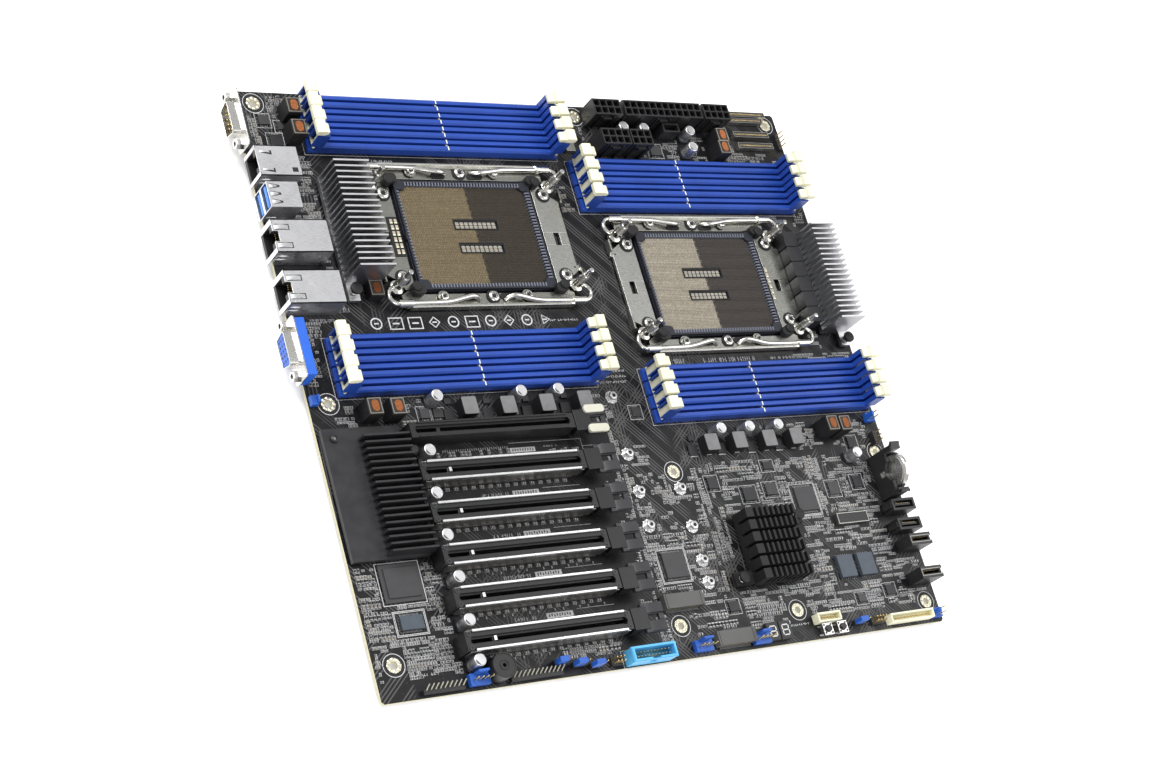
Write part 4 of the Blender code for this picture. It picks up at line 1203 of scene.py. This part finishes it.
def pin_header(piece, finish, x, y, across, along, z=2.5, pin=8.0, pitch=2.54):
    """A straight pin header."""
    piece.add(finish, centred(x, y, across * pitch, along * pitch, 0.0, z))
    for i in range(across):
        for j in range(along):
            px = x + (i - (across - 1) / 2) * pitch
            py = y + (j - (along - 1) / 2) * pitch
            piece.add("gold", centred(px, py, 0.6, 0.6, z, pin))


def fan_header(piece, x, y, turn, pins):
    """A keyed fan header with a wall along one side."""
    length = pins * 2.54
    place = Matrix.Translation((x, y, 0)) @ Matrix.Rotation(math.radians(turn), 4, "Z")
    base = centred(0, 0, length, 5.6, 0.3, 3.2)
    wall = centred(0, 2.4, length * 0.55, 1.1, 3.0, 8.6)
    key = centred(0, 2.0, length * 0.4, 0.5, 7.2, 8.0)
    piece.add("header_blue", *[moved(shape, place) for shape in (base, wall, key)])
    for k in range(pins):
        pin = centred((k - (pins - 1) / 2) * 2.54, -0.6, 0.6, 0.6, 3.0, 9.0)
        piece.add("gold", moved(pin, place))


FANS = ((48.6, 4.6, 0, 4), (173.1, 4.9, 0, 4), (208.6, 4.4, 0, 4), (325.4, 4.4, 90, 2), (324.6, 116.0, 90, 2))
LOW_CONNECTORS = (
    (295, 321, 301.2, 303.8), (295, 318, 297.4, 299.8), (295, 319, 288.0, 291.0), (296, 320, 281.0, 284.0),
)


def make_headers():
    """Fan headers, jumpers, pin rows, cream headers and low cable connectors."""
    fans = Piece("fan_headers")
    for header in FANS:
        fan_header(fans, *header)
    fans.add("header_blue", block(0.6, 4.2, 139.8, 144.6, 0.3, 3.2), block(3.4, 4.2, 140.4, 144.0, 3.2, 5.4))
    fans.build(slot="header_blue", bevel=0.2)

    jumpers = Piece("jumper_caps")
    for x, y in ((92.5, 6.9), (102.0, 4.9), (111.3, 3.2), (272.7, 5.5)):
        pin_header(jumpers, "black", x, y, 3, 1)
        jumpers.add("header_blue", prism(rounded(x - 1.27, y, 5.0, 2.5, 0.5), "z", 2.6, 8.4))
    jumpers.build(slot="header_blue", bevel=0.15)

    pins = Piece("pin_headers")
    pins.add("black", frame_ring(248.2, 288.9, 10.8, 5.4, 0.9, 0.3, 8.6))
    pins.add("black", block(243.6, 252.8, 287.0, 290.8, 0.3, 4.0))
    pin_header(pins, "black", 322.8, 103.7, 1, 3, 4.0, 9.0)
    pin_header(pins, "black", 326.6, 286.4, 1, 4, 2.5, 8.0)
    pin_header(pins, "black", 122.0, 3.6, 3, 2, 2.5, 7.0, 2.0)
    pin_header(pins, "black", 284.0, 5.0, 4, 2, 2.5, 7.0, 2.0)
    for x0, count in ((20.0, 9), (64.6, 12)):
        pins.add("black", block(x0, x0 + count * 2.3, 1.2, 3.4, 0.2, 2.4))
        for k in range(count):
            x = x0 + 1.2 + k * 2.3
            pins.add("pin_silver", tube([(x, 2.4, 0.4), (x, 3.0, 3.0), (x + 1.5, 5.2, 4.3)], 0.34, 6))
    pins.build(slot="connector_black", bevel=0.08, segments=1)

    pale = Piece("pale_headers")
    for x, y, length, count in ((251.8, 9.8, 15.0, 6), (305.8, 4.2, 29.6, 12)):
        x0, x1 = x - length / 2, x + length / 2
        pale.add("cream", block(x0, x1, y - 2.4, y - 1.6, 0.3, 5.4), block(x0, x1, y + 1.4, y + 2.4, 0.3, 5.8))
        for a, b, top in ((x0, x0 + 0.9, 5.6), (x1 - 0.9, x1, 5.6), (x0 + 0.9, x1 - 0.9, 2.2)):
            pale.add("cream", block(a, b, y - 1.6, y + 1.4, 0.3, top))
        for k in range(count):
            pin = x + (k - (count - 1) / 2) * (length - 4) / count
            pale.add("gold", centred(pin, y, 0.5, 0.5, 2.0, 5.0))
    pale.build(slot="latch_cream", bevel=0.2)

    low = Piece("low_cable_connectors")
    for x0, x1, y0, y1 in LOW_CONNECTORS:
        y = (y0 + y1) / 2
        low.add("grey", block(x0, x1, y0, y1, 0.2, 3.6))
        low.add("thread", frame_ring((x0 + x1) / 2, y, x1 - x0 + 0.5, y1 - y0 + 0.5, 0.25, 0.2, 3.8))
        for k in range(int((x1 - x0) / 0.8) - 2):
            low.add("gold", centred(x0 + 1.4 + k * 0.8, y, 0.3, 1.0, 3.5, 3.75))
    low.build(slot="connector_black", bevel=0.08, segments=1)


# Parts soldered to the board


class Space:
    """Which square millimetres of the board are taken."""

    def __init__(self):
        self.taken = set()

    @staticmethod
    def cells(x0, x1, y0, y1):
        columns, rows = range(math.floor(x0), math.ceil(x1)), range(math.floor(y0), math.ceil(y1))
        return {(x, y) for x in columns for y in rows}

    def mark(self, x0, x1, y0, y1):
        self.taken |= self.cells(x0, x1, y0, y1)

    def mark_square(self, x, y, reach):
        self.mark(x - reach, x + reach, y - reach, y + reach)

    def free(self, x0, x1, y0, y1):
        return self.taken.isdisjoint(self.cells(x0, x1, y0, y1))


SPACE = Space()
CANS = (
    (217.0, 288.6), (230.2, 288.2), (260.6, 287.6), (259.1, 277.5), (61.8, 139.1),
    (107.8, 139.3), (129.0, 139.4), (218.8, 113.4), (237.1, 113.4), (256.0, 113.4),
    (302.3, 94.6), (50.5, 112.3), (48.3, 91.3), (48.1, 70.9), (48.4, 50.8), (47.9, 30.4),
    (47.8, 11.6),
)
COPPERS = (
    (25.4, 291.8, 11.0), (25.4, 280.0, 11.0), (27.4, 134.6, 11.0), (39.1, 134.0, 11.0),
    (280.2, 284.5, 11.0), (279.2, 276.9, 11.0), (290.5, 111.2, 11.0), (299.0, 110.7, 11.0),
    (46.6, 196.6, 6.4),
)
CHOKES = (
    (78.9, 133.9), (100.0, 133.2), (121.8, 133.2), (143.9, 133.9), (211.9, 106.8),
    (229.7, 106.9), (249.0, 106.7), (267.1, 106.8),
)
STANDOFFS = (
    (163.7, 106.0), (164.0, 86.1), (188.8, 85.8), (163.7, 68.1), (189.1, 65.6), (189.0, 47.7),
    (188.7, 36.2), (164.1, 136.8),
)


def leaded_chip(piece, x0, x1, y0, y1, height, finish, pitch=0.65, sides="xy"):
    """A moulded chip with gull-wing leads on two or four sides."""
    piece.add(finish, block(x0, x1, y0, y1, 0.15, height))
    for k in range(int((x1 - x0) / pitch) - 1 if "y" in sides else 0):
        for y in (y0 - 0.5, y1 + 0.5):
            piece.add("tin", centred(x0 + pitch * (k + 1), y, 0.28, 1.1, 0.02, 0.3))
    for k in range(int((y1 - y0) / pitch) - 1 if "x" in sides else 0):
        for x in (x0 - 0.5, x1 + 0.5):
            piece.add("tin", centred(x, y0 + pitch * (k + 1), 1.1, 0.28, 0.02, 0.3))
    SPACE.mark(x0 - 1.2, x1 + 1.2, y0 - 1.2, y1 + 1.2)


LARGE_CHIPS = (
    (165.0, 177.6, 40.4, 53.2, "chip_grey"), (258.4, 271.0, 67.6, 80.6, "chip_grey"),
    (18.0, 29.0, 31.2, 37.8, "chip_slate"),
)
SMALL_CHIPS = (
    (285.5, 78.5, 7, 7), (230, 79.5, 8, 7), (244.5, 81, 7, 6), (209, 87, 6, 6),
    (31, 290.5, 6, 5), (17, 278, 6, 6), (239.5, 279, 7, 6), (57.5, 133.5, 5, 5),
    (64.5, 133, 5, 4), (179, 73, 6, 6), (199, 22.5, 6, 5), (308, 103, 6, 6), (303, 81, 6, 6),
    (264.5, 98.5, 5, 5), (289, 98.5, 6, 5), (280.5, 18, 5, 4), (301, 20.5, 6, 5),
    (227, 98, 6, 4), (247, 94, 6, 4), (22, 286, 5, 4), (13, 289, 5, 5), (12, 60.5, 3, 3),
    (176, 128, 5, 5), (197, 127, 4, 5), (320, 133, 4, 6), (296, 250, 5, 5), (176, 250, 5, 5),
)


def print_frame(piece, x0, x1, y0, y1, margin, wall):
    """A printed frame, wider than what it goes round by the margin."""
    width, depth = x1 - x0 + margin, y1 - y0 + margin
    piece.add("ink", frame_ring((x0 + x1) / 2, (y0 + y1) / 2, width, depth, wall, 0.0, INK_Z))


def make_chips():
    """The chips, a low framed connector, and the printed frames round them."""
    chips, frames = Piece("chips"), Piece("chip_frames")
    for *place, finish in LARGE_CHIPS:
        leaded_chip(chips, *place, 1.4, finish)
        for margin in (4.0, 5.2):
            print_frame(frames, *place, margin, 0.28)
    chips.add("chip_grey", block(13.4, 33.4, 44.2, 62.2, 0.2, 1.0), block(15.4, 31.4, 46.2, 60.2, 1.0, 1.7))
    print_frame(frames, 13.4, 33.4, 44.2, 62.2, 2.0, 0.35)
    SPACE.mark(12.2, 34.8, 43.0, 63.4)
    SPACE.mark(15.4, 31.6, 28.8, 40.2)
    for x in (271.0, 284.6):
        leaded_chip(chips, x, x + 10.4, 29.6, 41.4, 2.4, "chip_slate", 1.27, "y")
    chips.add("black", block(280.0, 300.0, 58.2, 63.6, 0.1, 2.6))
    chips.add("steel", frame_ring(290.0, 60.9, 20.6, 6.0, 0.5, 0.1, 2.9))
    SPACE.mark(278.8, 301.0, 57.0, 64.8)
    for x, y, width, depth in SMALL_CHIPS:
        place = (x - width / 2, x + width / 2, y - depth / 2, y + depth / 2)
        if SPACE.free(*place):
            leaded_chip(chips, *place, 1.1, "chip_grey" if width % 2 else "chip_black", 0.8)
            print_frame(frames, *place, 3.0, 0.2)
    chips.add("steel", block(180.4, 186.0, 276.0, 281.0, 0.1, 2.8))
    chips.build(slot="board_laminate", bevel=0.12, segments=1)
    frames.build(slot="board_laminate")


def make_power_parts():
    """Can capacitors, choke blocks, copper-topped inductors, and the standoffs for small cards."""
    cans = Piece("can_capacitors")
    can = (
        (3.0, 1.2), (3.05, 1.8), (2.85, 2.2), (3.05, 2.6), (3.05, 8.3), (2.9, 8.8), (2.55, 9.0),
        (2.4, 8.85), (0, 8.85),
    )
    for x, y in CANS:
        cans.add("frame_black", prism(rounded(x, y, 6.6, 6.6, 1.2, 2), "z", 0.0, 1.2))
        cans.add("can_top", disc(x, y, can, 28))
        cans.add("grey", prism(arc(x, y, 2.45, 170, 265, 8), "z", 8.84, 8.9))
        SPACE.mark_square(x, y, 3.6)
    cans.build(slot="silver_aluminium")

    chokes = Piece("power_chokes")
    for x, y in CHOKES:
        chokes.add("matte_black", prism(rounded(x, y, 7.9, 9.0, 0.5, 2), "z", 0.1, 6.7))
        chokes.add("choke_grey", prism(rounded(x, y, 7.8, 8.9, 0.6, 2), "z", 6.7, 7.1))
        chokes.add("tin", centred(x, y - 4.7, 3.2, 0.5, 0.0, 1.6))
        chokes.add("chip_black", centred(x - 8.6, y - 1.4, 5.4, 5.6, 0.1, 1.0))
        chokes.add("chip_black", centred(x - 8.0, y + 5.0, 3.4, 3.0, 0.1, 1.2))
        chokes.add("tin", centred(x - 8.6, y - 4.7, 4.6, 0.8, 0.0, 0.4))
        SPACE.mark(x - 11.6, x + 4.2, y - 5.2, y + 6.8)
    x0, x1, y0, y1 = 300.0, 309.0, 170.6, 225.0
    for k in range(6):
        low = y0 + k * (y1 - y0) / 6
        body = rounded((x0 + x1) / 2, low + 4.5, x1 - x0, 8.75, 0.6, 2)
        chokes.add("chip_black", prism(body, "z", 0.3, 9.6))
    SPACE.mark(x0 - 1.5, x1 + 1, y0, y1)
    chokes.build(slot="connector_black", bevel=0.2)

    coils = Piece("copper_inductors")
    for x, y, top in COPPERS:
        coils.add("matte_black", centred(x, y, 7.4, 8.6, 0.2, top - 0.8))
        coils.add("chip_black", prism(rounded(x, y, 7.2, 8.2, 0.8, 2), "z", top - 0.8, top - 0.3))
        coils.add("copper", prism(rounded(x + 0.1, y, 3.8, 5.8, 1.8), "z", top - 0.4, top))
        coils.add("cap_tan", frame_ring(x, y, 6.8, 7.8, 0.5, top - 0.3, top - 0.1))
        SPACE.mark_square(x, y, 4.6)
    coils.build(slot="connector_black", bevel=0.2)

    posts = Piece("card_standoffs")
    post = [(1.1, 0.0), (2.9, 0.0), (2.9, 0.5), (2.3, 0.6), (2.3, 2.6), (2.0, 2.8), (1.1, 2.8)]
    for x, y in STANDOFFS:
        posts.add("can_top", turned(post, (x, y, 0), sides=6, loop=True), washer(x, y, 1.1, 3.3, 0.0, 0.1))
        for centre in around(x, y, 3.1, 8):
            posts.add("screw", disc(*centre, [(0.6, 0.05), (0.6, 0.15), (0.3, 0.4), (0, 0.45)], 10))
        SPACE.mark_square(x, y, 3.6)
    posts.build(slot="port_nickel", bevel=0.1, segments=1)


# Places kept clear: (x0, x1, y0, y1)
CLEAR = (
    # under the chipset's heat sink and its pins
    (212.4, 244.6, 30.4, 68.6), (200.6, 214, 30.0, 46.0), (243, 256.4, 52.0, 69.0),
    # bare patches of board
    (176, 208, 96, 121), (181, 194, 66, 78), (170, 176, 76, 84), (208, 300, 98, 101), (262, 268, 84, 90),
    # headers and connectors near the edges
    (43, 54, 1, 8), (60, 94, 1, 10), (18, 42, 1, 8), (96, 126, 1, 8), (166, 180, 1, 9), (202, 246, 1, 9),
    (244, 262, 1, 13), (268, 330, 1, 8), (321, 330, 96, 121), (294, 330, 279, 304), (241, 255, 285, 292),
    (1, 8, 133, 147), (130, 152, 8, 20),
)


def reserve():
    """Marks what the solids cover, the mounting holes and the places kept clear."""
    for node in frame["nodes"]:
        if node not in ("board", "backplate_1", "backplate_2", "chipset_heatsink"):
            x0, x1, y0, y1, _, _ = extent(node)
            SPACE.mark(x0 - 0.6, x1 + 0.6, y0 - 0.6, y1 + 0.6)
    for x, y in HOLES:
        SPACE.mark_square(x, y, 5.6)
    for place in CLEAR:
        SPACE.mark(*place)


# Fields of small parts: (x0, x1, y0, y1, row pitch, share filled, rows along y)
FIELDS = (
    (160, 198, 10, 112, 1.9, 0.60, False), (206, 250, 10, 31, 1.8, 0.76, False),
    (213, 256, 68, 102, 1.9, 0.70, False), (198, 213, 31, 100, 1.8, 0.80, True),
    (180, 198, 56, 100, 1.9, 0.45, True), (245, 252, 31, 66, 1.8, 0.75, True),
    (272, 284, 64, 98, 1.8, 0.80, True), (250, 326, 12, 118, 1.9, 0.68, False),
    (2, 46, 9, 62, 1.7, 0.86, False), (12, 44, 127, 141, 1.8, 0.74, False),
    (45, 160, 126, 143, 2.2, 0.45, False), (5, 14, 184, 300, 1.7, 0.75, True),
    (5, 32, 182, 304, 1.7, 0.80, False), (194, 300, 271, 292, 1.9, 0.74, False),
    (288, 328, 152, 304, 2.2, 0.50, False), (186, 300, 100, 112, 2.2, 0.45, False),
    (50, 58, 198, 258, 1.8, 0.90, False), (96, 160, 8, 14, 1.8, 0.75, False),
    (146, 162, 10, 130, 2.0, 0.60, True), (158, 184, 236, 262, 2.6, 0.40, False),
    (1, 15, 148, 184, 2.0, 0.70, False),
)


def passive(bodies, marks, x, y, length, width, height, finish, lying):
    """One chip part: body, two tinned ends and its printed outline."""
    end = length * 0.22

    def part(along, size, across, top):
        where, spans = ((x + along, y), (size, across)) if lying else ((x, y + along), (across, size))
        return centred(*where, *spans, 0.03 if along == 0 else 0.0, top)

    bodies.add(finish, part(0, length - end, width, height))
    for side in SIDES:
        bodies.add("tin", part(side * (length - end) / 2, end, width + 0.06, height + 0.03))
    if marks is not None:
        a, b = (length, width) if lying else (width, length)
        marks.add("ink", frame_ring(x, y, a + 0.62, b + 0.62, 0.13, 0.0, INK_Z))


def make_small_parts():
    """Rows of chip parts in every field, and the rows between the slots."""
    rng = random.Random(12)
    sizes = ((1.0, 0.5, 0.35),) * 3 + ((1.6, 0.8, 0.5),) * 2 + ((2.0, 1.25, 0.8),)
    bodies, marks = Piece("chip_parts"), Piece("printed_outlines")
    for x0, x1, y0, y1, pitch, share, upright in FIELDS:
        start, stop, low, high = (y0, y1, x0, x1) if upright else (x0, x1, y0, y1)
        for row in range(int((high - low) / pitch)):
            along = start + rng.uniform(0.3, 1.2)
            across = low + (row + 0.5) * pitch
            while along < stop - 1:
                run = rng.choice((1, 2, 3, 4, 6))
                length, width, height = rng.choice(sizes)
                lying = rng.random() < (0.55 if upright else 0.45)
                finish = rng.choice(("cap_tan", "cap_grey", "chip_black", "chip_black"))
                kept = rng.random() < share * 0.9
                step = (width if lying == upright else length) + rng.choice((0.65, 0.8))
                half_x, half_y = (length / 2, width / 2) if lying else (width / 2, length / 2)
                for _ in range(run):
                    x, y = (across, along) if upright else (along, across)
                    clear = SPACE.free(x - half_x - 0.2, x + half_x + 0.2, y - half_y - 0.1, y + half_y + 0.1)
                    if kept and along < stop and clear:
                        passive(bodies, marks, x, y, length, width, height, finish, lying)
                    along += step
                along += rng.uniform(0.1, 1.1)
        if upright:
            SPACE.mark(x0, x1, y0, y1)
    _, _, _, back, _, _ = extent("pcie_slot_2")
    for k in (0, 3, 4, 6, 7, 8, 11, 13, 16, 18):
        passive(bodies, marks, 59.0 + k * 2.1, back + 6.6, 1.7, 1.0, 0.5, "cap_grey", False)
    for k in range(9):
        passive(bodies, marks, 118.0 + k * 2.2, back + 4.2 + 0.6 * (k % 3), 1.2, 0.8, 0.5, "cap_tan", k % 2 == 0)
    for number in range(2, 7):
        x0, _, front, _, _, _ = extent(f"pcie_slot_{number}")
        for k in range(17):
            x = x0 + 8.0 + k * 4.6
            passive(bodies, marks, x, front - 1.5, 1.7, 1.0, 0.5, "cap_grey", True)
            if k % 3 and number > 3:
                passive(bodies, None, x + 2.3, front - 3.4, 1.0, 0.6, 0.4, "cap_tan", False)
    bodies.build(slot="board_laminate")
    marks.build(slot="board_laminate")


# Printed marks


def dashes(piece, rng, x0, x1, y, height, fill):
    """A row of plain strokes, as dense as a line of print, that spell nothing."""
    x = x0
    while x < x1:
        width = rng.choice((0.5, 0.8, 1.1))
        if rng.random() < fill:
            flat = y + rng.choice((-0.25, 0, 0.25)) * height
            piece.add("ink", centred(x + width / 2, flat, width, 0.22, 0.0, INK_Z))
            upright = x + rng.choice((0.1, width / 2, width - 0.1))
            piece.add("ink", centred(upright, y, 0.22, height, 0.0, INK_Z))
        x += width + 0.45


# Lines of strokes: (x0, x1, y, height)
PRINT_LINES = (
    (228.0, 262.0, 154.6, 2.6), (272.0, 300.0, 154.4, 1.5), (200.0, 218.0, 154.8, 2.6),
    (56.0, 76.0, 268.4, 1.3), (140.0, 158.0, 180.0, 1.1), (160.0, 176.0, 151.0, 1.2),
    (160.0, 176.0, 148.0, 1.2), (160.0, 176.0, 145.0, 1.2), (8.0, 26.0, 182.0, 1.0),
    (18.0, 30.0, 10.4, 1.2), (228.0, 242.0, 9.0, 1.1), (96.0, 112.0, 10.2, 1.1),
)


def bar(piece, x0, x1, y0, y1, notch_x, notch_y, step, depth):
    """A printed bar with nine dark notches."""
    piece.add("ink", block(x0, x1, y0, y1, 0.0, INK_Z))
    for k in range(9):
        notch = centred(notch_x + k * 1.4, notch_y + step * (k % 2), 0.6, depth, 0.0, INK_Z + 0.01)
        piece.add("matte_black", notch)


def make_print():
    """The row of marks between the sockets, bars and strokes by the slots, and printed frames."""
    rng = random.Random(5)
    marks = Piece("printed_marks")
    for k in range(10):
        x = 45.0 + k * 10.4
        if k in (1, 2, 5):
            frame_mark = frame_ring(x, 180.4, 7.6, 6.4, 0.6, 0.0, INK_Z)
            marks.add("ink", frame_mark, centred(x, 180.4, 3.6, 0.8, 0.0, INK_Z))
        else:
            marks.add("ink", washer(x, 180.6, 2.4, 3.1, 0.0, INK_Z, (24, 3, 24, 4)[k % 4]))
            marks.add("ink", centred(x, 180.6, 2.4, 0.7, 0.0, INK_Z))
    for number in range(3, 7):
        back = extent(f"pcie_slot_{number}")[3]
        bar(marks, 93.0, 107.6, back + 3.9, back + 6.6, 94.6, back + 5.2, 0.3, 1.3)
        dashes(marks, rng, 76.0, 91.0, back + 5.2, 1.8, 0.8)
        marks.add("ink", block(110.0, 131.0, back + 6.9, back + 7.1, 0.0, INK_Z))
    back = extent("pcie_slot_2")[3]
    for low in (back + 2.2, back + 5.4):
        bar(marks, 98.0, 112.0, low, low + 2.4, 99.5, low + 1.2, 0.2, 1.2)
    dashes(marks, rng, 65.0, 75.0, back + 3.4, 1.8, 0.9)
    dashes(marks, rng, 117.0, 126.0, back + 7.6, 0.9, 0.9)
    for x0, x1, low, high in ((98.0, 139.0, 10.2, 10.4), (138.8, 139.0, 4.0, 10.2), (139.0, 158.0, 6.4, 6.6)):
        marks.add("ink", block(x0, x1, back + low, back + high, 0.0, INK_Z))
    for k in range(30):
        marks.add("tin", centred(62.0 + k * 1.2, back + 8.4, 0.3, 1.1, 0.0, 0.05))
    for line in PRINT_LINES:
        dashes(marks, rng, *line, 0.85)
    for node in (*(f"dimm_bank_{k}" for k in range(1, 5)), "usb_header"):
        print_frame(marks, *extent(node)[:4], 2.0, 0.2)
    for x in (216.2, 224.0):
        display_digit(marks, x, 6.8)
    marks.build(slot="board_laminate")


def display_digit(piece, x, y):
    """A seven-segment digit, all of it lit."""
    piece.add("chip_black", centred(x, y, 7.0, 9.0, 0.1, 3.0))
    for dy in (-2.6, 0, 2.6):
        piece.add("ink", centred(x, y + dy, 3.2, 0.6, 3.0, 3.06))
    for dx in (-1.9, 1.9):
        for dy in (-1.3, 1.3):
            piece.add("ink", centred(x + dx, y + dy, 0.6, 2.0, 3.0, 3.06))


def main():
    make_stage()
    make_board()
    make_banks()
    make_socket(1, ("field_tan", "field_brown"))
    make_socket(2, ("field_pale", "field_dark"))
    for number in (1, 2):
        make_bolster(number)
    make_heat_sinks()
    make_slots()
    for node in ("management_lan_port", "lan_port_1", "lan_port_2"):
        jack(node, node != "management_lan_port")
    make_usb_stack()
    make_d_ports()
    make_power()
    make_front_edge()
    make_usb_header()
    make_buttons()
    make_headers()
    reserve()
    make_chips()
    make_power_parts()
    make_small_parts()
    make_print()


main()
